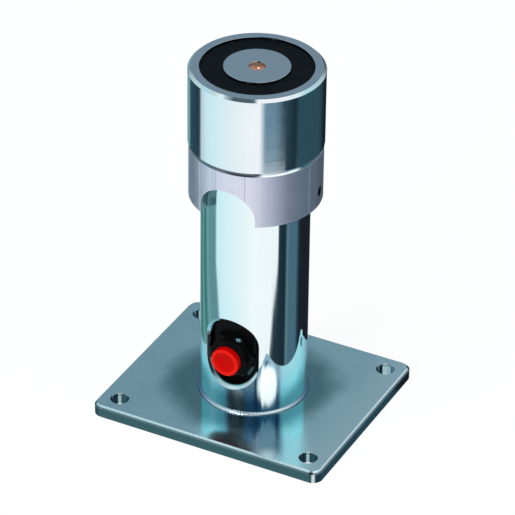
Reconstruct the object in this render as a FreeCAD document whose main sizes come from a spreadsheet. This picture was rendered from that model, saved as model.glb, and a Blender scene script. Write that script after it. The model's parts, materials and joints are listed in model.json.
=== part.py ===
import FreeCAD, Part
import Sketcher
import math
import os

# Floor-standing electromagnetic door holder, in millimetres, +Z up.
# The origin is the centre of the base plate's underside. The push-button looks along -Y,
# and the magnet's pole face is the top of the part.

Vector = FreeCAD.Vector
Rotation = FreeCAD.Rotation
Placement = FreeCAD.Placement

# Every size that can be set by itself, with the value of the real part.
SIZES = (
    ("plate_length", 120.0),
    ("plate_width", 102.0),
    ("plate_thick", 6.0),
    ("plate_corner", 5.0),
    ("plate_bevel", 1.3),
    ("fixing_bore", 9.0),
    ("fixing_inset", 10.0),
    ("cable_offset", 9.0),
    ("cable_hole", 14.0),
    ("grommet_bore", 9.0),
    ("grommet_lip", 2.0),
    ("grommet_lip_thick", 2.0),
    ("tube_diameter", 51.0),
    ("tube_wall", 3.0),
    ("tube_length", 129.5),
    ("weld_leg", 1.3),
    ("weld_hollow", 0.16),
    ("window_width", 24.6),
    ("window_length", 35.3),
    ("window_rise", 32.15),
    ("window_bevel", 1.7),
    ("collar_diameter", 62.2),
    ("collar_length", 27.9),
    ("collar_floor", 6.0),
    ("collar_bevel", 1.2),
    ("collar_edge", 0.4),
    ("arch_width", 28.0),
    ("arch_rise", 17.1),
    ("grub_bore", 5.0),
    ("grub_rise", 7.4),
    ("grub_turn", 7.5),
    ("grub_length", 4.0),
    ("grub_socket", 2.5),
    ("grub_socket_depth", 2.2),
    ("register_diameter", 56.0),
    ("register_height", 0.7),
    ("pot_overhang", 0.4),
    ("pot_height", 38.3),
    ("pot_back", 8.0),
    ("pot_rim", 5.3),
    ("pot_bevel", 1.3),
    ("core_diameter", 31.0),
    ("pole_edge", 0.15),
    ("coil_lead_bore", 5.0),
    ("coil_lead_radius", 19.0),
    ("bolt_diameter", 10.0),
    ("bolt_length", 20.0),
    ("bolt_head_diameter", 16.0),
    ("bolt_head_height", 10.0),
    ("bolt_socket", 8.0),
    ("bolt_socket_depth", 5.0),
    ("washer_diameter", 18.0),
    ("washer_thick", 2.2),
    ("thread_depth", 14.0),
    ("spring_bore", 8.6),
    ("pin_diameter", 7.0),
    ("pin_rise", 0.5),
    ("pin_dome", 0.9),
    ("pin_shoulder", 4.0),
    ("pin_flange", 2.0),
    ("pin_sink", 7.9),
    ("bobbin_wall", 1.0),
    ("bobbin_height", 24.0),
    ("potting_recess", 1.0),
    ("potting_dish", 0.3),
    ("panel_setback", 5.7),
    ("panel_thick", 3.0),
    ("chassis_wall", 2.2),
    ("chassis_floor", 3.0),
    ("chassis_height", 78.0),
    ("shelf_rise", 64.0),
    ("shelf_thick", 2.5),
    ("shelf_width", 14.0),
    ("rear_port_width", 24.0),
    ("rear_port_height", 46.0),
    ("chassis_screw_spread", 26.0),
    ("chassis_screw_diameter", 4.0),
    ("chassis_screw_head", 7.0),
    ("chassis_screw_head_height", 2.6),
    ("chassis_screw_setback", 0.45),
    ("driver_slot", 1.2),
    ("driver_slot_depth", 1.3),
    ("button_drop", 2.05),
    ("cap_diameter", 14.2),
    ("cap_depth", 6.5),
    ("cap_proud", 3.0),
    ("cap_rim", 1.7),
    ("cap_dish", 0.9),
    ("button_travel", 2.5),
    ("barrel_diameter", 16.8),
    ("barrel_reach", 7.2),
    ("web_thick", 3.2),
    ("plunger_diameter", 5.0),
    ("plunger_tail", 3.0),
    ("switch_body_diameter", 20.0),
    ("switch_body_depth", 14.8),
    ("switch_wall", 2.5),
    ("nut_across_flats", 20.4),
    ("nut_thick", 3.5),
    ("nut_turn", 4.0),
    ("switch_base_thick", 3.0),
    ("switch_spigot", 1.5),
    ("contact_rise", 2.0),
    ("contact_thick", 0.8),
    ("bridge_width", 5.0),
    ("blade_thick", 0.8),
    ("blade_width", 3.0),
    ("blade_spread", 12.4),
    ("blade_tip", 2.6),
    ("blade_tail", 5.0),
    ("block_pitch", 8.0),
    ("block_depth", 12.0),
    ("block_height", 12.0),
    ("clamp_side", 5.6),
    ("clamp_bore", 3.2),
    ("clamp_screw", 3.0),
    ("clamp_screw_head", 4.0),
    ("lead_diameter", 1.6),
    ("lead_clearance", 5.0),
    ("lead_drop", 10.0),
    ("coil_lead_bend", 2.0),
    ("switch_lead_bend", 2.5),
    ("diode_diameter", 2.7),
    ("diode_length", 5.2),
    ("diode_wire", 0.8),
    ("diode_wire_entry", 0.9),
    ("spring_wire", 0.8),
    ("spring_turns", 4.0),
    ("fine_spring_wire", 0.6),
    ("running_gap", 0.08),
    ("seat_gap", 0.1),
    ("free_gap", 0.3),
    ("edge_break", 0.3),
)

GRUB_COUNT = 3
CLAMP_COUNT = 3
QUARTER_TURN = 90.0
FULL_TURN = 360.0
HEXAGON = 6
WIRE_SIDES = 8
TOUCH = 1e-3

# How a sketch numbers the two ends and the centre of a line or an arc.
START = 1
END = 2
CENTRE = 3

doc = FreeCAD.newDocument("door_holder")


def sizes_sheet():
    """The sheet of driving dimensions: one named cell for each size."""
    sheet = doc.addObject("Spreadsheet::Sheet", "size")
    for row, (name, value) in enumerate(SIZES, start=1):
        sheet.set(f"A{row}", name)
        sheet.set(f"B{row}", str(value))
        sheet.setAlias(f"B{row}", name)
    doc.recompute()
    return sheet


size = sizes_sheet()

# Levels and places that follow from the sizes, as expressions.
TUBE_TOP = "(size.plate_thick + size.tube_length)"
COLLAR_TOP = f"({TUBE_TOP} + size.collar_floor)"
COLLAR_FOOT = f"({COLLAR_TOP} - size.collar_length)"
POT_FOOT = f"({COLLAR_TOP} + size.register_height)"
POLE_FACE = f"({POT_FOOT} + size.pot_height)"
GROOVE_FLOOR = f"({POT_FOOT} + size.pot_back)"
TUBE_RADIUS = "(size.tube_diameter / 2)"
TUBE_BORE = f"({TUBE_RADIUS} - size.tube_wall)"
COLLAR_RADIUS = "(size.collar_diameter / 2)"
COLLAR_BORE = f"({TUBE_RADIUS} + size.seat_gap)"
POT_RADIUS = f"({COLLAR_RADIUS} + size.pot_overhang)"
CORE_RADIUS = "(size.core_diameter / 2)"
GROOVE_RADIUS = f"({POT_RADIUS} - size.pot_rim)"
BOLT_RADIUS = "(size.bolt_diameter / 2)"
BOLT_END = f"({TUBE_TOP} - size.washer_thick + size.bolt_length)"
PIN_RADIUS = "(size.pin_diameter / 2)"
PIN_STEP = f"({POLE_FACE} - size.pin_shoulder)"
PIN_FOOT = f"({PIN_STEP} - size.seat_gap - size.pin_flange)"
PIN_CROWN = f"({POLE_FACE} + size.pin_rise)"
BOBBIN_TOP = f"({GROOVE_FLOOR} + size.bobbin_height)"
CHASSIS_RADIUS = f"({TUBE_BORE} - size.free_gap)"
CHASSIS_BORE = f"({CHASSIS_RADIUS} - size.chassis_wall)"
CHASSIS_FLOOR_TOP = "(size.plate_thick + size.chassis_floor)"
SHELF_FOOT = "(size.plate_thick + size.shelf_rise)"
SHELF_TOP = f"({SHELF_FOOT} + size.shelf_thick)"
PANEL_FACE = f"({TUBE_RADIUS} - size.panel_setback)"
WINDOW_CENTRE = "(size.plate_thick + size.window_rise)"
BUTTON_HEIGHT = f"({WINDOW_CENTRE} - size.button_drop)"

# Places along the push-button's axis, outwards from the front of the panel that carries it.
CAP_BACK = "(size.barrel_reach + size.cap_proud - size.cap_depth)"
WELL_FLOOR = f"({CAP_BACK} - size.button_travel - size.free_gap)"
CHAMBER_TOP = f"({WELL_FLOOR} - size.web_thick)"
CHAMBER_FOOT = "(-size.panel_thick - size.switch_body_depth)"
CHAMBER_RADIUS = "(size.switch_body_diameter / 2 - size.switch_wall)"
CAP_RADIUS = "(size.cap_diameter / 2)"
PLUNGER_RADIUS = "(size.plunger_diameter / 2)"
TAIL_RADIUS = "(size.plunger_tail / 2)"
BLADE_INSIDE = "(size.blade_spread / 2 - size.blade_thick / 2)"
CONTACT_FACE = f"({CHAMBER_TOP} - size.contact_rise - size.blade_thick)"
BRIDGE_FRONT = f"({CONTACT_FACE} - size.seat_gap)"
BRIDGE_BACK = f"({BRIDGE_FRONT} - size.contact_thick)"
SPIGOT_FACE = f"({CHAMBER_FOOT} + size.switch_spigot)"

BLOCK_FOOT = SHELF_TOP
CLAMP_HEIGHT = f"({BLOCK_FOOT} + size.block_height / 2)"
LEAD_HEIGHT = f"({CLAMP_HEIGHT} - size.clamp_bore / 2 + size.lead_diameter / 2 + size.seat_gap)"
SCREW_ROW = "(size.block_depth / 4)"


def number(expression):
    """Value of an expression of the named sizes."""
    return float(size.evalExpression(expression.replace("size.", "")))


def negative(expression):
    return f"-({expression})"


def new_body(name):
    body = doc.addObject("PartDesign::Body", name)
    body.Label = name
    return body


def new_sketch(body, name, role="XY_Plane", lift="0"):
    """Sketch on one of the body's own origin planes, lifted along the plane's normal."""
    sketch = body.newObject("Sketcher::SketchObject", name)
    support = [plane for plane in body.Origin.OriginFeatures if plane.Role == role]
    sketch.AttachmentSupport = (support[0], [""])
    sketch.MapMode = "FlatFace"
    sketch.setExpression(".AttachmentOffset.Base.z", lift)
    return sketch


def bind(sketch, constraint, expression):
    """Adds a dimension to a sketch and ties it to an expression of the sizes."""
    index = sketch.addConstraint(Sketcher.Constraint(*constraint, number(expression)))
    sketch.setExpression(f"Constraints[{index}]", expression)


def arc_radius(first, second, rise):
    """Radius of the arc that joins two corners and rises by the given amount over its chord."""
    across = f"({second[0]} - ({first[0]}))"
    along = f"({second[1]} - ({first[1]}))"
    return f"({across}^2 + {along}^2) / (8 * {rise}) + {rise} / 2"


def dome_rise(radius, depth):
    """Rise of the half arc, over its own chord, that turns into a dome or dish of this depth."""
    crown = f"((({radius})^2 + ({depth})^2) / (2 * ({depth})))"
    half_chord = f"(sqrt(({radius})^2 + ({depth})^2) / 2)"
    return f"({crown} - sqrt({crown}^2 - {half_chord}^2))"


def add_outline(sketch, corners, arcs=None):
    """Closed outline through corners given as pairs of expressions.

    arcs maps the number of a side to (rise, bulge): the side is then an arc that rises over its
    chord, to the left of the direction of travel for a bulge of 1 and to the right for -1.
    """
    arcs = arcs or {}
    places = [Vector(number(across), number(along), 0) for across, along in corners]
    count = len(places)
    first = sketch.GeometryCount
    for side in range(count):
        start = places[side]
        end = places[(side + 1) % count]
        if side in arcs:
            rise, bulge = arcs[side]
            chord = end - start
            left = Vector(-chord.y, chord.x, 0).normalize()
            middle = (start + end) / 2 + left * number(rise) * bulge
            sketch.addGeometry(Part.Arc(start, middle, end), False)
        else:
            sketch.addGeometry(Part.LineSegment(start, end), False)
    joints = [end_of_side(sketch, first + side, places[side]) for side in range(count)]
    for side in range(count):
        following = (side + 1) % count
        here = first + side
        there = first + following
        far_end = END if joints[side] == START else START
        sketch.addConstraint(Sketcher.Constraint("Coincident", here, far_end, there, joints[following]))
    for side, (across, along) in enumerate(corners):
        bind(sketch, ("DistanceX", -1, START, first + side, joints[side]), across)
        bind(sketch, ("DistanceY", -1, START, first + side, joints[side]), along)
    for side, (rise, bulge) in arcs.items():
        radius = arc_radius(corners[side], corners[(side + 1) % count], rise)
        bind(sketch, ("Radius", first + side), radius)


def end_of_side(sketch, side, place):
    """The end of a side, its start or its end, that lies on the given corner."""
    start = sketch.getPoint(side, START)
    return START if start.distanceToPoint(place) < TOUCH else END


def add_circle(sketch, diameter, across="0", along="0"):
    centre = Vector(number(across), number(along), 0)
    circle = Part.Circle(centre, Vector(0, 0, 1), number(diameter) / 2)
    index = sketch.addGeometry(circle, False)
    bind(sketch, ("DistanceX", -1, START, index, CENTRE), across)
    bind(sketch, ("DistanceY", -1, START, index, CENTRE), along)
    bind(sketch, ("Diameter", index), diameter)


def add_rectangle(sketch, low_across, low_along, high_across, high_along):
    corners = (
        (low_across, low_along),
        (high_across, low_along),
        (high_across, high_along),
        (low_across, high_along),
    )
    add_outline(sketch, corners)


def add_slot(sketch, width, low_centre, high_centre):
    """Upright slot with round ends, centred across the sketch."""
    radius = number(width) / 2
    low = Vector(0, number(low_centre), 0)
    high = Vector(0, number(high_centre), 0)
    side = Vector(radius, 0, 0)
    axis = Vector(0, 0, 1)
    top = sketch.addGeometry(Part.ArcOfCircle(Part.Circle(high, axis, radius), 0, math.pi), False)
    left = sketch.addGeometry(Part.LineSegment(high - side, low - side), False)
    bottom_arc = Part.ArcOfCircle(Part.Circle(low, axis, radius), math.pi, 2 * math.pi)
    bottom = sketch.addGeometry(bottom_arc, False)
    right = sketch.addGeometry(Part.LineSegment(low + side, high + side), False)
    sketch.addConstraint(Sketcher.Constraint("Tangent", top, END, left, START))
    sketch.addConstraint(Sketcher.Constraint("Tangent", left, END, bottom, START))
    sketch.addConstraint(Sketcher.Constraint("Tangent", bottom, END, right, START))
    sketch.addConstraint(Sketcher.Constraint("Coincident", right, END, top, START))
    for arc, centre in ((top, high_centre), (bottom, low_centre)):
        bind(sketch, ("DistanceX", -1, START, arc, CENTRE), "0")
        bind(sketch, ("DistanceY", -1, START, arc, CENTRE), centre)
    bind(sketch, ("Radius", top), f"{width} / 2")


def pad(body, sketch, length, reverse=False):
    feature = body.newObject("PartDesign::Pad", f"{sketch.Name}_pad")
    feature.Profile = sketch
    feature.Reversed = reverse
    feature.setExpression("Length", length)
    doc.recompute()
    return feature


def pocket(body, sketch, depth=None, reverse=False):
    """Cuts a sketch into the body, right through it where no depth is given."""
    before = body.Tip.Shape.Volume
    feature = body.newObject("PartDesign::Pocket", f"{sketch.Name}_cut")
    feature.Profile = sketch
    feature.Reversed = reverse
    if depth is None:
        feature.Type = "ThroughAll"
    else:
        feature.setExpression("Length", depth)
    doc.recompute()
    if not feature.Shape.Volume < before - TOUCH:
        raise ValueError(f"{feature.Name} cuts nothing")
    return feature


def revolve(body, sketch):
    """Turns a sketch right round the body's upright axis."""
    feature = body.newObject("PartDesign::Revolution", f"{sketch.Name}_turned")
    feature.Profile = sketch
    feature.ReferenceAxis = (sketch, ["V_Axis"])
    feature.Angle = FULL_TURN
    doc.recompute()
    return feature


def turned_body(name, corners, arcs=None):
    """Body of revolution about +Z from corners given as radius and height."""
    body = new_body(name)
    sketch = new_sketch(body, f"{name}_section", "XZ_Plane")
    add_outline(sketch, corners, arcs)
    revolve(body, sketch)
    return body


def edge_names(feature, wanted):
    """Names of the edges whose points, sampled along the edge, all pass the test."""
    names = []
    for index, edge in enumerate(feature.Shape.Edges, start=1):
        start, end = edge.ParameterRange
        points = [edge.valueAt(start + (end - start) * share) for share in (0.0, 0.3, 0.6, 1.0)]
        if all(wanted(point) for point in points):
            names.append(f"Edge{index}")
    return names


def dress(body, kind, feature, names, amount):
    """Fillet or chamfer on the named edges of a feature."""
    dressing = body.newObject(f"PartDesign::{kind}", f"{feature.Name}_{kind.lower()}")
    dressing.Base = (feature, names)
    dressing.setExpression("Radius" if kind == "Fillet" else "Size", amount)
    doc.recompute()
    return dressing


def place_on_button_axis(thing):
    """Stands a piece on the push-button's axis: its own +Z looks out of the window, along -Y."""
    thing.Placement = Placement(Vector(), Rotation(Vector(1, 0, 0), QUARTER_TURN))
    thing.setExpression(".Placement.Base.y", negative(PANEL_FACE))
    thing.setExpression(".Placement.Base.z", BUTTON_HEIGHT)


def primitive(kind, name, **expressions):
    """Part primitive whose properties are tied to expressions."""
    thing = doc.addObject(f"Part::{kind}", name)
    for prop, expression in expressions.items():
        thing.setExpression(prop, expression)
    return thing


def cylinder(name, radius, height, foot="0", across="0", along="0"):
    thing = primitive("Cylinder", name, Radius=radius, Height=height)
    thing.setExpression(".Placement.Base.x", across)
    thing.setExpression(".Placement.Base.y", along)
    thing.setExpression(".Placement.Base.z", foot)
    return thing


def box(name, length, width, height, low_x, low_y, low_z):
    thing = primitive("Box", name, Length=length, Width=width, Height=height)
    thing.setExpression(".Placement.Base.x", low_x)
    thing.setExpression(".Placement.Base.y", low_y)
    thing.setExpression(".Placement.Base.z", low_z)
    return thing


def hexagon(name, across_flats, height, foot="0"):
    """Six-sided bar, stated by its width across the flats."""
    thing = primitive("Prism", name, Height=height)
    thing.Polygon = HEXAGON
    thing.setExpression("Circumradius", f"{across_flats} / 2 / cos(30 deg)")
    thing.setExpression(".Placement.Base.z", foot)
    return thing


def cut(name, base, tool):
    thing = doc.addObject("Part::Cut", name)
    thing.Base = base
    thing.Tool = tool
    return thing


def common(name, base, tool):
    thing = doc.addObject("Part::Common", name)
    thing.Base = base
    thing.Tool = tool
    return thing


def group(name, members):
    """Like pieces kept as separate solids in one sub-part."""
    thing = doc.addObject("Part::Compound", name)
    thing.Label = name
    thing.Links = members
    return thing


def base_plate():
    """Steel foot with rounded corners, bevelled top edges, four fixing holes and a cable hole."""
    body = new_body("base_plate")
    half_length = "size.plate_length / 2"
    half_width = "size.plate_width / 2"
    slab_outline = new_sketch(body, "plate_outline")
    add_rectangle(slab_outline, negative(half_length), negative(half_width), half_length, half_width)
    slab = pad(body, slab_outline, "size.plate_thick")
    reach = number(half_length) - TOUCH
    side = number(half_width) - TOUCH
    corners = edge_names(slab, lambda place: abs(place.x) > reach and abs(place.y) > side)
    rounded = dress(body, "Fillet", slab, corners, "size.plate_corner")
    top = number("size.plate_thick") - TOUCH
    rim = edge_names(rounded, lambda place: place.z > top)
    dress(body, "Chamfer", rounded, rim, "size.plate_bevel")
    holes = new_sketch(body, "plate_holes")
    column = f"{half_length} - size.fixing_inset"
    row = f"{half_width} - size.fixing_inset"
    for across in (column, negative(column)):
        for along in (row, negative(row)):
            add_circle(holes, "size.fixing_bore", across, along)
    add_circle(holes, "size.cable_hole", "0", "size.cable_offset")
    tapping = "size.chassis_screw_diameter + 2 * size.running_gap"
    for across in ("size.chassis_screw_spread / 2", "-size.chassis_screw_spread / 2"):
        add_circle(holes, tapping, across)
    pocket(body, holes, reverse=True)
    return body


def weld_bead():
    """Small fillet weld round the foot of the tube, with a slightly hollow face."""
    foot = "size.plate_thick"
    toe = f"{TUBE_RADIUS} + size.weld_leg"
    top = "size.plate_thick + size.weld_leg"
    corners = ((TUBE_RADIUS, foot), (toe, foot), (TUBE_RADIUS, top))
    return turned_body("weld_bead", corners, {1: ("size.weld_hollow", 1)})


def column_tube():
    """Steel tube with the round-ended window for the push-button."""
    body = new_body("column_tube")
    ring = new_sketch(body, "tube_ring", lift="size.plate_thick")
    add_circle(ring, "size.tube_diameter")
    add_circle(ring, f"2 * {TUBE_BORE}")
    pad(body, ring, "size.tube_length")
    window = new_sketch(body, "tube_window", "XZ_Plane")
    straight = "(size.window_length - size.window_width) / 2"
    add_slot(window, "size.window_width", f"{WINDOW_CENTRE} - {straight}", f"{WINDOW_CENTRE} + {straight}")
    opened = pocket(body, window, reverse=True)
    skin = number(TUBE_RADIUS)
    low = number("size.plate_thick") + TOUCH
    high = number(TUBE_TOP) - TOUCH

    half_width = number("size.window_width") / 2 + TOUCH

    def on_window_edge(place):
        on_skin = abs(math.hypot(place.x, place.y) - skin) < TOUCH
        return on_skin and low < place.z < high and place.y < 0 and abs(place.x) < half_width

    dress(body, "Chamfer", opened, edge_names(opened, on_window_edge), "size.window_bevel")
    return body


def head_collar():
    """Turned aluminium collar: sits on the tube's end and carries the magnet pot."""
    bore_top = TUBE_TOP
    corners = (
        (COLLAR_BORE, COLLAR_FOOT),
        (f"{COLLAR_RADIUS} - size.collar_edge", COLLAR_FOOT),
        (COLLAR_RADIUS, f"{COLLAR_FOOT} + size.collar_edge"),
        (COLLAR_RADIUS, f"{COLLAR_TOP} - size.collar_bevel"),
        (f"{COLLAR_RADIUS} - size.collar_bevel", COLLAR_TOP),
        ("size.register_diameter / 2", COLLAR_TOP),
        ("size.register_diameter / 2", POT_FOOT),
        (f"{BOLT_RADIUS} + size.free_gap", POT_FOOT),
        (f"{BOLT_RADIUS} + size.free_gap", bore_top),
        (COLLAR_BORE, bore_top),
    )
    body = turned_body("head_collar", corners)
    arch = new_sketch(body, "collar_arch", "XZ_Plane")
    radius = "size.arch_width / 2"
    crown = f"{COLLAR_FOOT} + size.arch_rise"
    add_slot(arch, "size.arch_width", f"{COLLAR_FOOT} - {radius}", f"{crown} - {radius}")
    pocket(body, arch, reverse=True)
    turn = number("size.grub_turn")
    for side, plane, reverse, angle in (("right", "YZ_Plane", True, turn), ("back", "XZ_Plane", False, 0),
                                        ("left", "YZ_Plane", False, -turn)):
        grub = new_sketch(body, f"collar_grub_{side}", plane)
        grub.AttachmentOffset = Placement(Vector(), Rotation(Vector(0, 1, 0), angle))
        add_circle(grub, "size.grub_bore", "0", f"{COLLAR_FOOT} + size.grub_rise")
        pocket(body, grub, reverse=reverse)
    leads = new_sketch(body, "collar_leads", lift=COLLAR_FOOT)
    add_circle(leads, "size.coil_lead_bore", "0", "-size.coil_lead_radius")
    pocket(body, leads, reverse=True)
    return body


def collar_screws():
    """Three socket grub screws that clamp the collar on the tube."""
    members = []
    height = f"{COLLAR_FOOT} + size.grub_rise"
    for index in range(GRUB_COUNT):
        shank = cylinder(f"grub_shank_{index}", "size.grub_bore / 2", "size.grub_length", TUBE_RADIUS)
        socket_foot = f"{TUBE_RADIUS} + size.grub_length - size.grub_socket_depth"
        socket = hexagon(f"grub_socket_{index}", "size.grub_socket", "size.grub_length", socket_foot)
        screw = cut(f"grub_screw_{index}", shank, socket)
        upright = Rotation(Vector(0, 1, 0), QUARTER_TURN)
        bearing = QUARTER_TURN * index + (1 - index) * number("size.grub_turn")
        screw.Placement = Placement(Vector(), Rotation(Vector(0, 0, 1), bearing) * upright)
        screw.setExpression(".Placement.Base.z", height)
        members.append(screw)
    return group("collar_screws", members)


def magnet_pot():
    """Turned steel pot: outer pole ring, centre core, groove for the coil and stepped centre bore."""
    thread_top = f"{POT_FOOT} + size.thread_depth"
    sink = "(size.pin_sink / 2)"
    passage = f"({PIN_RADIUS} + size.running_gap)"
    corners = (
        (f"{BOLT_RADIUS} + size.running_gap", POT_FOOT),
        (f"{POT_RADIUS} - size.edge_break", POT_FOOT),
        (POT_RADIUS, f"{POT_FOOT} + size.edge_break"),
        (POT_RADIUS, f"{POLE_FACE} - size.pot_bevel"),
        (f"{POT_RADIUS} - size.pot_bevel", POLE_FACE),
        (f"{GROOVE_RADIUS} + size.pole_edge", POLE_FACE),
        (GROOVE_RADIUS, f"{POLE_FACE} - size.pole_edge"),
        (GROOVE_RADIUS, GROOVE_FLOOR),
        (CORE_RADIUS, GROOVE_FLOOR),
        (CORE_RADIUS, f"{POLE_FACE} - size.pole_edge"),
        (f"{CORE_RADIUS} - size.pole_edge", POLE_FACE),
        (sink, POLE_FACE),
        (passage, f"{POLE_FACE} - ({sink} - {passage})"),
        (passage, PIN_STEP),
        ("size.spring_bore / 2", PIN_STEP),
        ("size.spring_bore / 2", thread_top),
        (f"{BOLT_RADIUS} + size.running_gap", thread_top),
    )
    body = turned_body("magnet_pot", corners)
    leads = new_sketch(body, "pot_leads", lift=POT_FOOT)
    add_circle(leads, "size.coil_lead_bore", "0", "-size.coil_lead_radius")
    pocket(body, leads, "size.pot_back", reverse=True)
    return body


def coil_bobbin():
    """Moulded spool in the pot's groove, notched where the winding's ends leave it."""
    inner = f"({CORE_RADIUS} + size.seat_gap)"
    outer = f"({GROOVE_RADIUS} - size.seat_gap)"
    hub = f"({inner} + size.bobbin_wall)"
    corners = (
        (inner, GROOVE_FLOOR),
        (outer, GROOVE_FLOOR),
        (outer, f"{GROOVE_FLOOR} + size.bobbin_wall"),
        (hub, f"{GROOVE_FLOOR} + size.bobbin_wall"),
        (hub, f"{BOBBIN_TOP} - size.bobbin_wall"),
        (outer, f"{BOBBIN_TOP} - size.bobbin_wall"),
        (outer, BOBBIN_TOP),
        (inner, BOBBIN_TOP),
    )
    body = turned_body("coil_bobbin", corners)
    notch = new_sketch(body, "bobbin_notch", lift=GROOVE_FLOOR)
    half = "size.coil_lead_bore / 2"
    middle = "-size.coil_lead_radius"
    half_depth = "size.lead_diameter"
    add_rectangle(notch, negative(half), f"{middle} - {half_depth}", half, f"{middle} + {half_depth}")
    pocket(body, notch, "size.bobbin_wall", reverse=True)
    return body


def coil_winding():
    """Wound copper coil as one ring between the bobbin's flanges."""
    inner = f"{CORE_RADIUS} + 2 * size.seat_gap + size.bobbin_wall"
    outer = f"{GROOVE_RADIUS} - size.bobbin_wall"
    foot = f"{GROOVE_FLOOR} + size.bobbin_wall"
    top = f"{BOBBIN_TOP} - size.bobbin_wall"
    corners = ((inner, foot), (outer, foot), (outer, top), (inner, top))
    return turned_body("coil_winding", corners)


def potting_ring():
    """Ring of black casting resin that closes the groove, dished a little by its shrinkage."""
    inner = f"{CORE_RADIUS} + size.seat_gap"
    outer = f"{GROOVE_RADIUS} - size.seat_gap"
    top = f"{POLE_FACE} - size.potting_recess"
    corners = ((inner, BOBBIN_TOP), (outer, BOBBIN_TOP), (outer, top), (inner, top))
    return turned_body("potting_ring", corners, {2: ("size.potting_dish", 1)})


def pot_bolt():
    """Socket-head bolt that pulls the pot down on the collar."""
    head_top = f"{TUBE_TOP} - size.washer_thick"
    head_foot = f"{head_top} - size.bolt_head_height"
    head = "size.bolt_head_diameter / 2"
    corners = (
        ("0", head_foot),
        (f"{head} - size.edge_break", head_foot),
        (head, f"{head_foot} + size.edge_break"),
        (head, head_top),
        (BOLT_RADIUS, head_top),
        (BOLT_RADIUS, f"{BOLT_END} - size.edge_break"),
        (f"{BOLT_RADIUS} - size.edge_break", BOLT_END),
        ("0", BOLT_END),
    )
    turned = turned_body("pot_bolt_blank", corners)
    socket = hexagon("pot_bolt_socket", "size.bolt_socket", "size.bolt_socket_depth", head_foot)
    bolt = cut("pot_bolt", turned, socket)
    return bolt


def bolt_washer():
    inner = f"{BOLT_RADIUS} + size.seat_gap"
    outer = "size.washer_diameter / 2"
    foot = f"{TUBE_TOP} - size.washer_thick"
    return turned_body("bolt_washer", ((inner, foot), (outer, foot), (outer, TUBE_TOP), (inner, TUBE_TOP)))


def residual_pin():
    """Bronze pin with a low dome: it pushes the door's armature off when the current stops."""
    rim = f"{PIN_CROWN} - size.pin_dome"
    flange = "(size.spring_bore / 2 - size.running_gap)"
    corners = (
        ("0", PIN_FOOT),
        (flange, PIN_FOOT),
        (flange, f"{PIN_FOOT} + size.pin_flange"),
        (PIN_RADIUS, f"{PIN_FOOT} + size.pin_flange"),
        (PIN_RADIUS, rim),
        ("0", PIN_CROWN),
    )
    return turned_body("residual_pin", corners, {4: (dome_rise(PIN_RADIUS, "size.pin_dome"), -1)})


def coil_spring(name, wire, outer_radius, foot, top):
    """Compression spring between two seats, its wire drawn as a six-sided bar."""
    body = new_body(name)
    section = new_sketch(body, f"{name}_wire", "XZ_Plane")
    centre = f"({outer_radius} - {wire} / 2)"
    level = f"({foot} + {wire} / 2)"
    slope = "sin(60 deg)"
    half = f"{wire} / 2"
    corners = (
        (f"{centre} - {half}", level),
        (f"{centre} - {half} / 2", f"{level} - {half} * {slope}"),
        (f"{centre} + {half} / 2", f"{level} - {half} * {slope}"),
        (f"{centre} + {half}", level),
        (f"{centre} + {half} / 2", f"{level} + {half} * {slope}"),
        (f"{centre} - {half} / 2", f"{level} + {half} * {slope}"),
    )
    add_outline(section, corners)
    coil = body.newObject("PartDesign::AdditiveHelix", f"{name}_coil")
    coil.Profile = section
    coil.ReferenceAxis = (section, ["V_Axis"])
    coil.Mode = "height-turns-angle"
    coil.setExpression("Height", f"{top} - ({foot}) - {wire}")
    coil.setExpression("Turns", "size.spring_turns")
    doc.recompute()
    return body


def pin_spring():
    """Spring under the residual pin, seated on the end of the pot's bolt."""
    outer = "(size.spring_bore / 2 - size.free_gap)"
    return coil_spring("pin_spring", "size.spring_wire", outer, BOLT_END, PIN_FOOT)


def add_d_shape(sketch, radius, flat):
    """Circle with its front cut off straight at the given distance from the centre."""
    reach = f"sqrt({radius}^2 - ({flat})^2)"
    half = math.sqrt(number(radius) ** 2 - number(flat) ** 2)
    left = Vector(-half, -number(flat), 0)
    right = Vector(half, -number(flat), 0)
    back = Vector(0, number(radius), 0)
    arc = sketch.addGeometry(Part.Arc(right, back, left), False)
    chord = sketch.addGeometry(Part.LineSegment(left, right), False)
    ends = (START, END) if sketch.getPoint(arc, START).x > 0 else (END, START)
    sketch.addConstraint(Sketcher.Constraint("Coincident", arc, ends[1], chord, START))
    sketch.addConstraint(Sketcher.Constraint("Coincident", arc, ends[0], chord, END))
    bind(sketch, ("Radius", arc), radius)
    bind(sketch, ("DistanceX", -1, START, chord, START), negative(reach))
    bind(sketch, ("DistanceY", -1, START, chord, START), negative(flat))
    bind(sketch, ("DistanceX", -1, START, chord, END), reach)
    bind(sketch, ("DistanceY", -1, START, chord, END), negative(flat))


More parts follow.
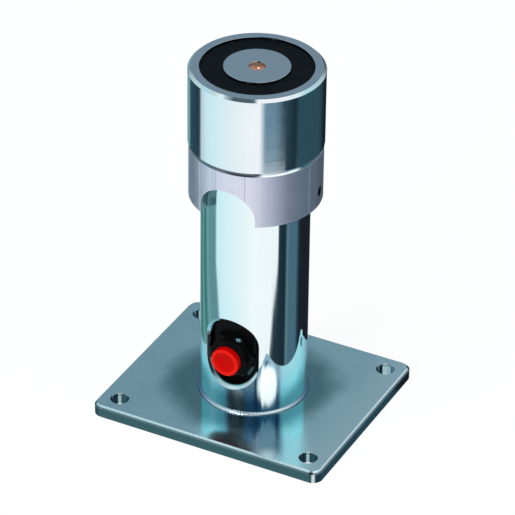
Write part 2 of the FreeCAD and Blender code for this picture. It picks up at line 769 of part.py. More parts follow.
def inner_chassis():
    """Black moulding inside the tube: its flat front closes the window and carries the switch."""
    body = new_body("inner_chassis")
    outside = new_sketch(body, "chassis_outside", lift="size.plate_thick")
    add_d_shape(outside, CHASSIS_RADIUS, PANEL_FACE)
    pad(body, outside, "size.chassis_height")
    inside = new_sketch(body, "chassis_inside", lift=CHASSIS_FLOOR_TOP)
    add_d_shape(inside, CHASSIS_BORE, f"({PANEL_FACE} - size.panel_thick)")
    pocket(body, inside, reverse=True)
    shelf = new_sketch(body, "chassis_shelf", lift=SHELF_FOOT)
    half = "(size.shelf_width / 2)"
    reach = f"sqrt(({CHASSIS_RADIUS} - size.chassis_wall / 2)^2 - {half}^2)"
    add_rectangle(shelf, negative(reach), negative(half), reach, half)
    pad(body, shelf, "size.shelf_thick")
    floor_holes = new_sketch(body, "chassis_floor_holes", lift="size.plate_thick")
    grommet = "size.cable_hole + 2 * size.grommet_lip + 2 * size.free_gap"
    add_circle(floor_holes, grommet, "0", "size.cable_offset")
    clearance = "size.chassis_screw_diameter + 2 * size.free_gap"
    for across in ("size.chassis_screw_spread / 2", "-size.chassis_screw_spread / 2"):
        add_circle(floor_holes, clearance, across)
    pocket(body, floor_holes, "size.chassis_floor", reverse=True)
    barrel = new_sketch(body, "chassis_barrel", "XZ_Plane")
    add_circle(barrel, "size.barrel_diameter + 2 * size.seat_gap", "0", BUTTON_HEIGHT)
    pocket(body, barrel, reverse=True)
    port = new_sketch(body, "chassis_port", "XZ_Plane")
    half_port = "size.rear_port_width / 2"
    port_foot = CHASSIS_FLOOR_TOP
    port_top = f"{CHASSIS_FLOOR_TOP} + size.rear_port_height"
    add_rectangle(port, negative(half_port), port_foot, half_port, port_top)
    pocket(body, port)
    return body


def chassis_screws():
    """Two slotted screws that hold the chassis down on the base plate."""
    members = []
    shank_length = "size.plate_thick + size.chassis_floor - size.chassis_screw_setback"
    for index, side in enumerate(("size.chassis_screw_spread / 2", "-size.chassis_screw_spread / 2")):
        shank = cylinder(f"chassis_shank_{index}", "size.chassis_screw_diameter / 2", shank_length,
                         "size.chassis_screw_setback", side)
        head = cylinder(f"chassis_head_{index}", "size.chassis_screw_head / 2",
                        "size.chassis_screw_head_height", CHASSIS_FLOOR_TOP, side)
        screw = doc.addObject("Part::Fuse", f"chassis_screw_blank_{index}")
        screw.Base = shank
        screw.Tool = head
        slot_foot = f"{CHASSIS_FLOOR_TOP} + size.chassis_screw_head_height - size.driver_slot_depth"
        slot = box(f"chassis_slot_{index}", "2 * size.chassis_screw_head", "size.driver_slot",
                   "size.chassis_screw_head_height", f"{side} - size.chassis_screw_head",
                   "-size.driver_slot / 2", slot_foot)
        members.append(cut(f"chassis_screw_{index}", screw, slot))
    return group("chassis_screws", members)


def cable_grommet():
    """Rubber bush in the base plate's cable hole, with one lip on the plate's top."""
    bore = "size.grommet_bore / 2"
    neck = "size.cable_hole / 2"
    lip = f"{neck} + size.grommet_lip"
    top = "size.plate_thick + size.grommet_lip_thick"
    corners = (
        (bore, "size.edge_break"),
        (f"{neck}", "size.edge_break"),
        (f"{neck}", "size.plate_thick"),
        (lip, "size.plate_thick"),
        (lip, f"{top} - size.edge_break"),
        (f"{lip} - size.edge_break", top),
        (bore, top),
    )
    body = turned_body("cable_grommet", corners)
    body.setExpression(".Placement.Base.y", "size.cable_offset")
    return body


def switch_housing():
    """Threaded barrel and contact chamber of the push-button switch, in one moulding."""
    barrel = "(size.barrel_diameter / 2)"
    well = f"({CAP_RADIUS} + size.running_gap)"
    guide = f"({PLUNGER_RADIUS} + size.running_gap)"
    flange = "(size.switch_body_diameter / 2)"
    shoulder = "-size.panel_thick"
    corners = (
        (f"{barrel} - size.edge_break", "size.barrel_reach"),
        (barrel, "size.barrel_reach - size.edge_break"),
        (barrel, shoulder),
        (flange, shoulder),
        (flange, CHAMBER_FOOT),
        (CHAMBER_RADIUS, CHAMBER_FOOT),
        (CHAMBER_RADIUS, CHAMBER_TOP),
        (guide, CHAMBER_TOP),
        (guide, WELL_FLOOR),
        (well, WELL_FLOOR),
        (well, "size.barrel_reach"),
    )
    body = turned_body("switch_housing", corners)
    place_on_button_axis(body)
    return body


def switch_nut():
    """Hexagon nut that clamps the switch in the panel, its front corners turned off."""
    blank = hexagon("nut_blank", "size.nut_across_flats", "size.nut_thick")
    corner = "(size.nut_across_flats / 2 / cos(30 deg))"
    drop = f"(({corner} - size.nut_across_flats / 2) / 2)"
    cone = primitive("Cone", "nut_turning", Height="size.nut_thick")
    cone.setExpression("Radius2", f"size.nut_across_flats / 2 + {drop} / 2")
    cone.setExpression("Radius1", f"size.nut_across_flats / 2 + {drop} / 2 + size.nut_thick / tan(30 deg)")
    shaped = common("nut_shaped", blank, cone)
    foot = "-size.nut_thick"
    bore = cylinder("nut_bore", "size.barrel_diameter / 2 + size.seat_gap", "3 * size.nut_thick", foot)
    nut = cut("switch_nut", shaped, bore)
    turn = Rotation(Vector(0, 0, 1), number("size.nut_turn"))
    nut.Placement = Placement(Vector(), Rotation(Vector(1, 0, 0), QUARTER_TURN) * turn)
    nut.setExpression(".Placement.Base.y", negative(PANEL_FACE))
    nut.setExpression(".Placement.Base.z", BUTTON_HEIGHT)
    return nut


def switch_base():
    """Rear cover of the switch: a disc with a spigot, slotted for the two contact blades."""
    spigot = f"{CHAMBER_RADIUS} - size.seat_gap"
    flange = "size.switch_body_diameter / 2"
    rear = f"{CHAMBER_FOOT} - size.switch_base_thick"
    corners = (
        ("0", rear),
        (flange, rear),
        (flange, CHAMBER_FOOT),
        (spigot, CHAMBER_FOOT),
        (spigot, SPIGOT_FACE),
        ("0", SPIGOT_FACE),
    )
    body = turned_body("switch_base", corners)
    slots = new_sketch(body, "base_slots")
    near = f"{BLADE_INSIDE} - size.seat_gap"
    far = f"{BLADE_INSIDE} + size.blade_thick + size.seat_gap"
    half = "size.blade_width / 2 + size.seat_gap"
    add_rectangle(slots, near, negative(half), far, half)
    add_rectangle(slots, negative(far), negative(half), negative(near), half)
    pocket(body, slots)
    place_on_button_axis(body)
    return body


def switch_contacts():
    """Two fixed blades: solder tails behind, tips turned in over the moving bridge."""
    members = []
    rear = f"({CHAMBER_FOOT} - size.switch_base_thick - size.blade_tail)"
    top = f"({CONTACT_FACE} + size.blade_thick)"
    half = "size.blade_width / 2"
    for index, side in enumerate((1, -1)):
        body = new_body(f"switch_blade_{index}")
        outline = new_sketch(body, f"blade_outline_{index}", "XZ_Plane", negative(half))
        inside = f"{side} * {BLADE_INSIDE}"
        outside = f"{side} * ({BLADE_INSIDE} + size.blade_thick)"
        tip = f"{side} * ({BLADE_INSIDE} - size.blade_tip)"
        corners = (
            (inside, rear),
            (outside, rear),
            (outside, top),
            (tip, top),
            (tip, CONTACT_FACE),
            (inside, CONTACT_FACE),
        )
        add_outline(outline, corners)
        pad(body, outline, "size.blade_width")
        place_on_button_axis(body)
        members.append(body)
    return group("switch_contacts", members)


def button_cap():
    """Red cap with a raised rim and a dished face, bored behind for the plunger."""
    front = "(size.barrel_reach + size.cap_proud)"
    socket = f"({PLUNGER_RADIUS})"
    socket_floor = f"({CAP_BACK} + size.cap_depth / 2)"
    inner = f"({CAP_RADIUS} - size.cap_rim)"
    corners = (
        (socket, CAP_BACK),
        (CAP_RADIUS, CAP_BACK),
        (CAP_RADIUS, f"{front} - size.edge_break"),
        (f"{CAP_RADIUS} - size.edge_break", front),
        (inner, front),
        (f"{inner} - size.edge_break", f"{front} - size.edge_break"),
        ("0", f"{front} - size.cap_dish"),
        ("0", socket_floor),
        (socket, socket_floor),
    )
    dish = dome_rise(f"{inner} - size.edge_break", "size.cap_dish - size.edge_break")
    body = turned_body("button_cap", corners, {5: (dish, 1)})
    place_on_button_axis(body)
    return body


def button_plunger():
    """Stem between the cap and the moving contact, stepped down to centre the spring."""
    top = f"{CAP_BACK} + size.cap_depth / 2"
    tail_end = f"{BRIDGE_BACK} - size.button_travel"
    corners = (
        ("0", tail_end),
        (TAIL_RADIUS, tail_end),
        (TAIL_RADIUS, BRIDGE_FRONT),
        (PLUNGER_RADIUS, BRIDGE_FRONT),
        (PLUNGER_RADIUS, top),
        ("0", top),
    )
    body = turned_body("button_plunger", corners)
    place_on_button_axis(body)
    return body


def contact_bridge():
    """Moving contact: a bar on the plunger's tail that links the two blades."""
    body = new_body("contact_bridge")
    outline = new_sketch(body, "bridge_outline", lift=BRIDGE_BACK)
    reach = f"({BLADE_INSIDE} - 2 * size.free_gap)"
    half = "(size.bridge_width / 2)"
    add_rectangle(outline, negative(reach), negative(half), reach, half)
    pad(body, outline, "size.contact_thick")
    bore = new_sketch(body, "bridge_bore", lift=BRIDGE_BACK)
    add_circle(bore, f"2 * {TAIL_RADIUS}")
    pocket(body, bore, reverse=True)
    place_on_button_axis(body)
    return body


def button_spring():
    """Return spring between the switch's rear cover and the moving contact."""
    outer = f"({TAIL_RADIUS} + size.free_gap + size.fine_spring_wire)"
    body = coil_spring("button_spring", "size.fine_spring_wire", outer, SPIGOT_FACE, BRIDGE_BACK)
    place_on_button_axis(body)
    return body


def pole_places():
    """Places of the terminal block's poles across the tube."""
    middle = (CLAMP_COUNT - 1) / 2
    return [f"({index - middle} * size.block_pitch)" for index in range(CLAMP_COUNT)]


def terminal_block():
    """Moulded three-pole block on the chassis shelf, with a cavity and two screw wells a pole."""
    body = new_body("terminal_block")
    outline = new_sketch(body, "block_outline", lift=BLOCK_FOOT)
    half_length = f"({CLAMP_COUNT} * size.block_pitch / 2)"
    half_depth = "(size.block_depth / 2)"
    add_rectangle(outline, negative(half_length), negative(half_depth), half_length, half_depth)
    pad(body, outline, "size.block_height")
    cavities = new_sketch(body, "block_cavities", "XZ_Plane", half_depth)
    half_side = "size.clamp_side / 2 + size.seat_gap"
    for place in pole_places():
        low = f"{CLAMP_HEIGHT} - ({half_side})"
        high = f"{CLAMP_HEIGHT} + {half_side}"
        add_rectangle(cavities, f"{place} - ({half_side})", low, f"{place} + {half_side}", high)
    pocket(body, cavities)
    wells = new_sketch(body, "block_wells", lift=f"{BLOCK_FOOT} + size.block_height")
    for place in pole_places():
        for along in (SCREW_ROW, negative(SCREW_ROW)):
            add_circle(wells, "size.clamp_screw_head + 2 * size.seat_gap", place, along)
    pocket(body, wells, "size.block_height / 2")
    return body


def terminal_clamps():
    """Brass clamp bars in the block, bored along for the leads and across for the screws."""
    members = []
    half = "size.clamp_side / 2"
    length = "size.block_depth - 2 * size.edge_break"
    for index, place in enumerate(pole_places()):
        bar = box(f"clamp_bar_{index}", "size.clamp_side", length, "size.clamp_side",
                  f"{place} - {half}", f"-({length}) / 2", f"{CLAMP_HEIGHT} - {half}")
        bore = cylinder(f"clamp_bore_{index}", "size.clamp_bore / 2", "2 * size.block_depth")
        bore.Placement = Placement(Vector(), Rotation(Vector(1, 0, 0), QUARTER_TURN))
        bore.setExpression(".Placement.Base.x", place)
        bore.setExpression(".Placement.Base.y", "size.block_depth")
        bore.setExpression(".Placement.Base.z", CLAMP_HEIGHT)
        tool = bore
        thread = "size.clamp_screw / 2 + size.running_gap"
        for row, along in enumerate((SCREW_ROW, negative(SCREW_ROW))):
            tapped = cylinder(f"clamp_thread_{index}_{row}", thread, "size.clamp_side", CLAMP_HEIGHT,
                              place, along)
            joined = doc.addObject("Part::Fuse", f"clamp_tool_{index}_{row}")
            joined.Base = tool
            joined.Tool = tapped
            tool = joined
        members.append(cut(f"clamp_{index}", bar, tool))
    return group("terminal_clamps", members)


def terminal_screws():
    """Slotted clamp screws, two for each pole."""
    members = []
    tip = f"{LEAD_HEIGHT} + size.lead_diameter / 2 + size.seat_gap"
    head_foot = f"{CLAMP_HEIGHT} + size.clamp_side / 2 + size.seat_gap"
    head_height = "(size.block_height / 2 - size.clamp_side / 2 - 2 * size.seat_gap)"
    for index, place in enumerate(pole_places()):
        for row, along in enumerate((SCREW_ROW, negative(SCREW_ROW))):
            tag = f"{index}_{row}"
            shank = cylinder(f"terminal_shank_{tag}", "size.clamp_screw / 2",
                             f"{head_foot} - ({tip})", tip, place, along)
            head = cylinder(f"terminal_head_{tag}", "size.clamp_screw_head / 2", head_height,
                            head_foot, place, along)
            screw = doc.addObject("Part::Fuse", f"terminal_screw_{tag}")
            screw.Base = shank
            screw.Tool = head
            members.append(screw)
    return group("terminal_screws", members)


def lead_solid(points, diameter, bend):
    """Wire along straight runs joined by tangent arcs, its round section drawn with eight sides.

    At each inner point the arc of the given bend radius starts and ends at
    radius * tan(half the turn) from the point.
    """
    edges = []
    start = points[0]
    for before, corner, after in zip(points, points[1:], points[2:]):
        inward = (before - corner).normalize()
        outward = (after - corner).normalize()
        turn = math.pi - inward.getAngle(outward)
        setback = bend * math.tan(turn / 2)
        arc_start = corner + inward * setback
        arc_end = corner + outward * setback
        middle_direction = (inward + outward).normalize()
        middle = corner + middle_direction * (bend / math.cos(turn / 2) - bend)
        edges.append(Part.LineSegment(start, arc_start).toShape())
        edges.append(Part.Arc(arc_start, middle, arc_end).toShape())
        start = arc_end
    edges.append(Part.LineSegment(start, points[-1]).toShape())
    path = Part.Wire(edges)
    direction = (points[1] - points[0]).normalize()
    spoke = direction.cross(points[2] - points[1]).normalize() * diameter / 2
    step = FULL_TURN / WIRE_SIDES
    corners = [points[0] + Rotation(direction, step * index).multVec(spoke) for index in range(WIRE_SIDES)]
    section = Part.Face(Part.makePolygon(corners + corners[:1]))
    wire = path.makePipe(section)
    expected = section.Area * path.Length
    if abs(wire.Volume - expected) > expected / 100:
        raise ValueError("a lead's volume is not its section times its length")
    return wire


def leads(name, routes, bend):
    """Sub-part of like leads, each along its own route."""
    wires = [lead_solid(points, number("size.lead_diameter"), number(bend)) for points in routes]
    thing = doc.addObject("Part::Feature", name)
    thing.Label = name
    thing.Shape = Part.makeCompound(wires)
    thing.Placement = Placement()
    return thing


def coil_leads():
    """The winding's two ends: down through pot and collar and into the front of two poles."""
    top = number(f"{GROOVE_FLOOR} + size.bobbin_wall - size.seat_gap")
    entry = number(LEAD_HEIGHT)
    out = number("size.coil_lead_radius")
    behind_panel = number(f"{PANEL_FACE} - size.panel_thick - size.lead_diameter")
    inside = number(SCREW_ROW)
    apart = number("size.lead_diameter / 2 + size.seat_gap / 2")
    turn_height = number(f"{TUBE_TOP} - size.bolt_head_height - size.lead_drop")
    places = pole_places()
    routes = []
    for place, side in ((places[0], -apart), (places[1], apart)):
        across = number(place)
        mid_height = (turn_height + entry) / 2
        routes.append((
            Vector(side, -out, top),
            Vector(side, -out, turn_height),
            Vector(across, -behind_panel, mid_height),
            Vector(across, -behind_panel, entry),
            Vector(across, -inside, entry),
        ))
    return leads("coil_leads", routes, "size.coil_lead_bend")


def switch_leads():
    """Two leads from the switch's solder tails up to the rear of two poles."""
    tail = number(f"-({PANEL_FACE}) - ({CHAMBER_FOOT}) + size.switch_base_thick + size.blade_tail")
    start_y = tail + number("size.seat_gap")
    rise_y = number(f"{CHASSIS_BORE} - size.lead_clearance")
    entry = number(LEAD_HEIGHT)
    inside = number(SCREW_ROW)
    foot = number(BUTTON_HEIGHT)
    places = pole_places()
    routes = []
    for place, side in ((places[0], -1), (places[2], 1)):
        blade = side * number("size.blade_spread / 2")
        across = number(place)
        routes.append((
            Vector(blade, start_y, foot),
            Vector(blade, rise_y, foot),
            Vector(across, rise_y, entry),
            Vector(across, inside, entry),
        ))
    return leads("switch_leads", routes, "size.switch_lead_bend")


def suppressor_diode():
    """Diode across the coil's two poles, its wires turned down into the clamps' front bores."""
    places = pole_places()
    left = number(places[0])
    right = number(places[1])
    out = number("size.block_depth / 2 + size.diode_diameter / 2 + size.free_gap")
    level = number(f"{CLAMP_HEIGHT} + size.clamp_bore / 2 - size.diode_wire / 2 - 2 * size.seat_gap")
    inside = number("size.block_depth / 2 - size.diode_wire_entry")
    bend = number("size.diode_wire")
    wire_points = (
        Vector(left, -inside, level),
        Vector(left, -out, level),
        Vector(right, -out, level),
        Vector(right, -inside, level),
    )
    wire = lead_solid(wire_points, number("size.diode_wire"), bend)
    length = number("size.diode_length")
    start = Vector((left + right - length) / 2, -out, level)
    case = Part.makeCylinder(number("size.diode_diameter / 2"), length, start, Vector(1, 0, 0))
    thing = doc.addObject("Part::Feature", "suppressor_diode")
    thing.Label = "suppressor_diode"
    thing.Shape = case.fuse(wire).removeSplitter()
    thing.Placement = Placement()
    return thing


SUB_PARTS = (
    base_plate,
    weld_bead,
    column_tube,
    head_collar,
    collar_screws,
    magnet_pot,
    coil_bobbin,
    coil_winding,
    potting_ring,
    pot_bolt,
    bolt_washer,
    residual_pin,
    pin_spring,
    inner_chassis,
    chassis_screws,
    cable_grommet,
    switch_housing,
    switch_nut,
    switch_base,
    switch_contacts,
    button_cap,
    button_plunger,
    contact_bridge,
    button_spring,
    terminal_block,
    terminal_clamps,
    terminal_screws,
    coil_leads,
    switch_leads,
    suppressor_diode,
)


def check_document():
    """Stops on any object that failed to compute."""
    for thing in doc.Objects:
        if "Invalid" in thing.State or "Error" in thing.State:
            raise ValueError(f"{thing.Name} is {thing.State}")


def write_parts(pieces):
    os.makedirs("parts", exist_ok=True)
    for piece in pieces:
        shape = piece.Shape
        if shape.isNull() or not shape.isValid():
            raise ValueError(f"{piece.Label} has no valid shape")
        shape.exportStep(os.path.join("parts", f"{piece.Label}.step"))
        print(piece.Label, "solids", len(shape.Solids), "volume", round(shape.Volume, 1))


pieces = [make() for make in SUB_PARTS]
doc.recompute()
check_document()
write_parts(pieces)
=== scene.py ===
# %% [markdown]
# # Floor-standing electromagnetic door holder
#
# A foot plate carries a bright tube, the tube carries a turned collar, and the collar carries an
# electromagnet. A red push-button sits in a window near the tube's foot and lets the door go.
# The construction comes packed from the workshop model, in metres, +Z up, with its origin under the
# middle of the foot plate. This lesson gives it its finishes, adds what is too fine for the workshop
# model (threads, wound springs, coil turns), and sets up the studio it is photographed in.

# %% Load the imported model
import json
import math

import bmesh
import bpy
import numpy as np
from mathutils import Matrix, Vector


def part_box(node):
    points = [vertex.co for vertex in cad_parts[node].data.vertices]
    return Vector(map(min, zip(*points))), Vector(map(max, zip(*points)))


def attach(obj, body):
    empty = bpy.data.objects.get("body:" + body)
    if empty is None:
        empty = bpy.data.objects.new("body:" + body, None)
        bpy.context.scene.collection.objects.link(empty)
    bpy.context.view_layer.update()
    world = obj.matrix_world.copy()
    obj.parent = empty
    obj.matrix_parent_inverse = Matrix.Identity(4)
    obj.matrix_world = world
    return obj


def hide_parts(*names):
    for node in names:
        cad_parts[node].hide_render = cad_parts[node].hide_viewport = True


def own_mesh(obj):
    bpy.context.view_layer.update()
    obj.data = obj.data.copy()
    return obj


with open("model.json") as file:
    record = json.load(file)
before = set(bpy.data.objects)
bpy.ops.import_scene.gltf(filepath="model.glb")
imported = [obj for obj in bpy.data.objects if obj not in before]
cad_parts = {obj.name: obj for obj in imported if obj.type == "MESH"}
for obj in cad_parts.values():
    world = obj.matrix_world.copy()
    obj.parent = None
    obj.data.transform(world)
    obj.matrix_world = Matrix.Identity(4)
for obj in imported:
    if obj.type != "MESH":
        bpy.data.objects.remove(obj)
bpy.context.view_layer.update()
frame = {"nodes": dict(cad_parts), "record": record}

MM = 0.001
nodes = frame["nodes"]
slot_of_node = {part["node"]: part["material_slot"] for part in frame["record"]["subparts"]}

# %% [markdown]
# ## The camera
#
# The picture looks down on the holder from its front right with a long lens, so its uprights stay
# nearly parallel. A camera is easiest to keep true when it is built from what a photographer would
# measure: a point to look at, a direction, a distance and a small roll. Its matrix then has the
# picture's right, up and back directions as its columns.

# %% Camera
AZIMUTH = math.radians(27.169)
ELEVATION = math.radians(32.858)
ROLL = math.radians(0.687)
DISTANCE = 1.66788
AIM = Vector((0.0, 0.0, 0.07762))
SENSOR = 36.0
FRAME_PIXELS = 515
FOCAL_PIXELS = 3579.04
CENTRE_PIXEL = 254.94


def camera_axes(azimuth, elevation, roll):
    """Right, up and back directions of a camera that looks at the object from azimuth and elevation."""
    back = Vector((math.sin(azimuth) * math.cos(elevation),
                   -math.cos(azimuth) * math.cos(elevation), math.sin(elevation)))
    right = Vector((math.cos(azimuth), math.sin(azimuth), 0.0))
    up = back.cross(right)
    turned_right = right * math.cos(roll) + up * math.sin(roll)
    turned_up = up * math.cos(roll) - right * math.sin(roll)
    return turned_right, turned_up, back


right, up, back = camera_axes(AZIMUTH, ELEVATION, ROLL)
camera_data = bpy.data.cameras.new("studio_camera")
camera_data.sensor_width = SENSOR
camera_data.lens = SENSOR * FOCAL_PIXELS / FRAME_PIXELS
camera_data.shift_x = (FRAME_PIXELS / 2 - CENTRE_PIXEL) / FRAME_PIXELS
camera_data.clip_start = 0.05
camera_data.clip_end = 60.0
camera = bpy.data.objects.new("studio_camera", camera_data)
axes = Matrix((right, up, back)).transposed().to_4x4()
camera.matrix_world = Matrix.Translation(AIM + back * DISTANCE) @ axes
bpy.context.scene.collection.objects.link(camera)
bpy.context.scene.camera = camera
bpy.context.scene.view_settings.view_transform = "Standard"
print("lens in mm", round(camera_data.lens, 1), "shift", round(camera_data.shift_x, 5))

# %% [markdown]
# ## Helpers for node trees
#
# Every finish here is a small tree of nodes. One helper adds a node and sets or links its sockets in
# the same call, and a few more wrap the nodes that are used again and again. That keeps each finish
# short enough to read as a recipe.

# %% Node helpers
def add(tree, kind, settings=None, **inputs):
    """Adds a node, sets its properties, and sets or links the inputs that are named."""
    made = tree.nodes.new(kind)
    for name, value in (settings or {}).items():
        setattr(made, name, value)
    for name, value in inputs.items():
        plug(tree, value, made.inputs[name.replace("_", " ")])
    return made


def plug(tree, value, socket):
    """Links a socket to another one, or gives it a plain value."""
    if isinstance(value, bpy.types.NodeSocket):
        tree.links.new(value, socket)
    else:
        socket.default_value = value


def maths(tree, operation, *values):
    """Result of a Math node on one, two or three values."""
    made = tree.nodes.new("ShaderNodeMath")
    made.operation = operation
    for value, socket in zip(values, made.inputs):
        plug(tree, value, socket)
    return made.outputs[0]


def times(tree, first, second):
    """Product of two values."""
    return maths(tree, "MULTIPLY", first, second)


def squares(tree, first, second):
    """Sum of the squares of two values."""
    return maths(tree, "ADD", times(tree, first, first), times(tree, second, second))


def step(tree, value, low, high, start=0.0, end=1.0):
    """Smooth step: start where the value is under low, end where it is over high."""
    made = add(tree, "ShaderNodeMapRange", {"interpolation_type": "SMOOTHSTEP"}, Value=value,
               From_Min=low, From_Max=high, To_Min=start, To_Max=end)
    return made.outputs[0]


def blend_colour(tree, factor, first, second, mode="MIX"):
    """Colour between two colours, by a factor."""
    made = add(tree, "ShaderNodeMix", {"data_type": "RGBA", "blend_type": mode})
    for value, index in ((factor, 0), (first, 6), (second, 7)):
        plug(tree, value, made.inputs[index])
    return made.outputs[2]


def linear(red, green, blue):
    """Linear colour of a screen colour given as 0 to 255."""
    screen = np.array((red, green, blue)) / 255.0
    light = np.where(screen <= 0.04045, screen / 12.92, ((screen + 0.055) / 1.055) ** 2.4)
    return (*light.tolist(), 1.0)


WHITE = (1.0, 1.0, 1.0, 1.0)
print("screen grey 128 in linear light", round(linear(128, 128, 128)[0], 3))

# %% [markdown]
# ## The studio
#
# Bright metal has hardly a colour of its own: it shows the room. The long dark and light stripes on
# the tube and on the magnet are the studio's walls and screens, so the studio is drawn first, as
# bands of tone round the horizon. Each band is named by its bearing from the camera, in degrees to
# the right. An upright cylinder turns a bearing into a place across its width: a stripe at bearing b
# shows at sin(b / 2) of the radius from the middle.
#
# Eight rings of bands, from low to high, are enough. The collar's broad sheen takes in the lowest, the
# plate's edges show the next, then come the tube's and the magnet's. One at eye height serves the pole
# face and the bevels' ends, the next the plate, then one the window's lip, and the one overhead the
# bevels' fronts. Above them all lies one plain tone. A small bright lamp makes a glint on the black parts.

# %% Studio tones
SCREEN_WHITE = linear(252, 254, 255)
SCREEN_PALE = linear(234, 249, 252)
SCREEN_CYAN = linear(210, 242, 249)
MIST = linear(196, 216, 222)
HAZE = linear(158, 176, 180)
PALE_TEAL = linear(118, 164, 169)
TEAL = linear(98, 144, 150)
GREEN_LINE = linear(126, 174, 170)
DEEP_GREEN = linear(64, 124, 124)
SKY_BLUE = linear(118, 152, 172)
BLUE_GREY = linear(104, 138, 158)
SLATE = linear(74, 108, 124)
SLATE_LINE = linear(92, 128, 138)
STEEL_BLUE = linear(86, 118, 134)
DEEP_SLATE = linear(52, 78, 92)
PETROL = linear(46, 77, 90)
DARK_TEAL = linear(38, 64, 78)
INK = linear(29, 46, 57)
SOOT = linear(28, 33, 40)
CEILING = linear(131, 163, 175)
POLE_GREY = linear(119, 140, 156)
EDGE_SLATE = linear(82, 96, 106)
EDGE_TEAL = linear(74, 112, 118)
POOL_PALE = linear(176, 240, 254)
POOL_CYAN = linear(132, 220, 232)
POOL_BLUE = linear(108, 190, 212)
POOL_TEAL = linear(142, 234, 244)
POOL_DEEP = linear(96, 158, 190)
NIGHT_BLUE = linear(34, 84, 122)

LOW_RING = (
    (-180, HAZE), (-162, HAZE), (-157, DEEP_GREEN), (-145, DEEP_GREEN), (-141, GREEN_LINE),
    (-137, DEEP_GREEN), (-127, DEEP_GREEN), (-122, PALE_TEAL), (-112, TEAL), (-93, TEAL),
    (-88, SCREEN_CYAN), (-40, SCREEN_PALE), (0, SCREEN_WHITE), (49, SCREEN_WHITE), (51, DARK_TEAL),
    (58, INK), (67, INK), (72, SLATE_LINE), (77, SLATE), (97, SLATE), (103, DARK_TEAL), (110, SOOT),
    (163, SOOT), (170, HAZE), (180, HAZE),
)
FOOT_RING = (
    (-180, PETROL), (-120, PETROL), (-66, EDGE_TEAL), (-40, EDGE_TEAL), (-22, DARK_TEAL),
    (-12, SCREEN_CYAN), (-4, SCREEN_WHITE), (16, SCREEN_WHITE), (26, PETROL), (60, DARK_TEAL),
    (110, PETROL), (180, PETROL),
)
MAGNET_RING = (
    (-180, PALE_TEAL), (-151, PALE_TEAL), (-142, PETROL), (-120, DARK_TEAL), (-110, DARK_TEAL),
    (-104, MIST), (-92, SCREEN_CYAN), (-45, SCREEN_PALE), (-10, SCREEN_WHITE), (5, SCREEN_WHITE),
    (14, SKY_BLUE), (18, BLUE_GREY), (30, BLUE_GREY), (38, STEEL_BLUE), (46, DEEP_SLATE), (56, DARK_TEAL),
    (68, INK), (76, PETROL), (128, PETROL), (148, SOOT), (168, SOOT), (176, PALE_TEAL), (180, PALE_TEAL),
)
EYE_RING = (
    (-180, POLE_GREY), (-160, POLE_GREY), (-145, MIST), (145, MIST), (160, POLE_GREY), (180, POLE_GREY),
)
POOL_RING = (
    (-180, CEILING), (-154, CEILING), (-142, POOL_TEAL), (-118, POOL_TEAL), (-98, POOL_PALE),
    (-84, POOL_CYAN), (-66, POOL_BLUE), (-55, DEEP_SLATE), (-49, SOOT), (-26, SOOT), (-12, NIGHT_BLUE),
    (8, NIGHT_BLUE), (18, POOL_DEEP), (46, POOL_DEEP), (50, NIGHT_BLUE), (56, NIGHT_BLUE),
    (63, POOL_CYAN), (80, POOL_CYAN), (105, POOL_TEAL), (130, POOL_TEAL), (150, CEILING), (180, CEILING),
)
GROUND_RING = (
    (-180, SLATE), (-118, SLATE), (-85, SCREEN_WHITE), (-4, SCREEN_WHITE), (0, POLE_GREY), (8, POLE_GREY),
    (14, SCREEN_WHITE), (45, MIST), (80, SLATE), (180, SLATE),
)
LIP_RING = (
    (-180, CEILING), (-130, MIST), (-90, MIST), (-72, SCREEN_PALE), (-45, SCREEN_CYAN), (-20, PALE_TEAL),
    (20, PALE_TEAL), (35, SCREEN_PALE), (90, SCREEN_PALE), (130, MIST), (180, CEILING),
)
OVERHEAD_RING = (
    (-180, CEILING), (-130, MIST), (-90, SCREEN_PALE), (-70, MIST), (-50, EDGE_SLATE), (-16, EDGE_SLATE),
    (-6, STEEL_BLUE), (3, SCREEN_WHITE), (90, SCREEN_WHITE), (130, MIST), (180, CEILING),
)
LAMP_GLOW = (40.0, 46.0, 50.0, 1.0)
LAMP_BEARING = math.radians(-31)
LAMP_RISE = 0.35
LAMP_HALF_WIDTH = math.radians(6)
LAMP_HALF_HEIGHT = 0.05
print("bands overhead", len(OVERHEAD_RING), "bands the tube shows", len(LOW_RING))

# %% [markdown]
# Each ring is a colour ramp once round the horizon. A ray's bearing gives its place on the ramp, and its
# rise, the sine of its angle above the horizon, picks the ring.

# %% Studio walls
def ring(tree, place, stops):
    """Colour ramp once round the horizon; a stop is a bearing in degrees and a tone."""
    ramp = add(tree, "ShaderNodeValToRGB", Fac=place)
    elements = ramp.color_ramp.elements
    while len(elements) < len(stops):
        elements.new(0.5)
    for element, (bearing, tone) in zip(elements, stops):
        element.position = (bearing + 180) / 360
        element.color = tone
    return ramp.outputs[0]


def dot(tree, vector, direction):
    """How far a vector points along a direction."""
    made = add(tree, "ShaderNodeVectorMath", {"operation": "DOT_PRODUCT"})
    plug(tree, vector, made.inputs[0])
    plug(tree, direction, made.inputs[1])
    return made.outputs["Value"]


def over(tree, height, level, softness, below, above):
    """Tone below a level of the ray's rise, going over softly into the tone above it."""
    return blend_colour(tree, step(tree, height, level - softness, level + softness), below, above)


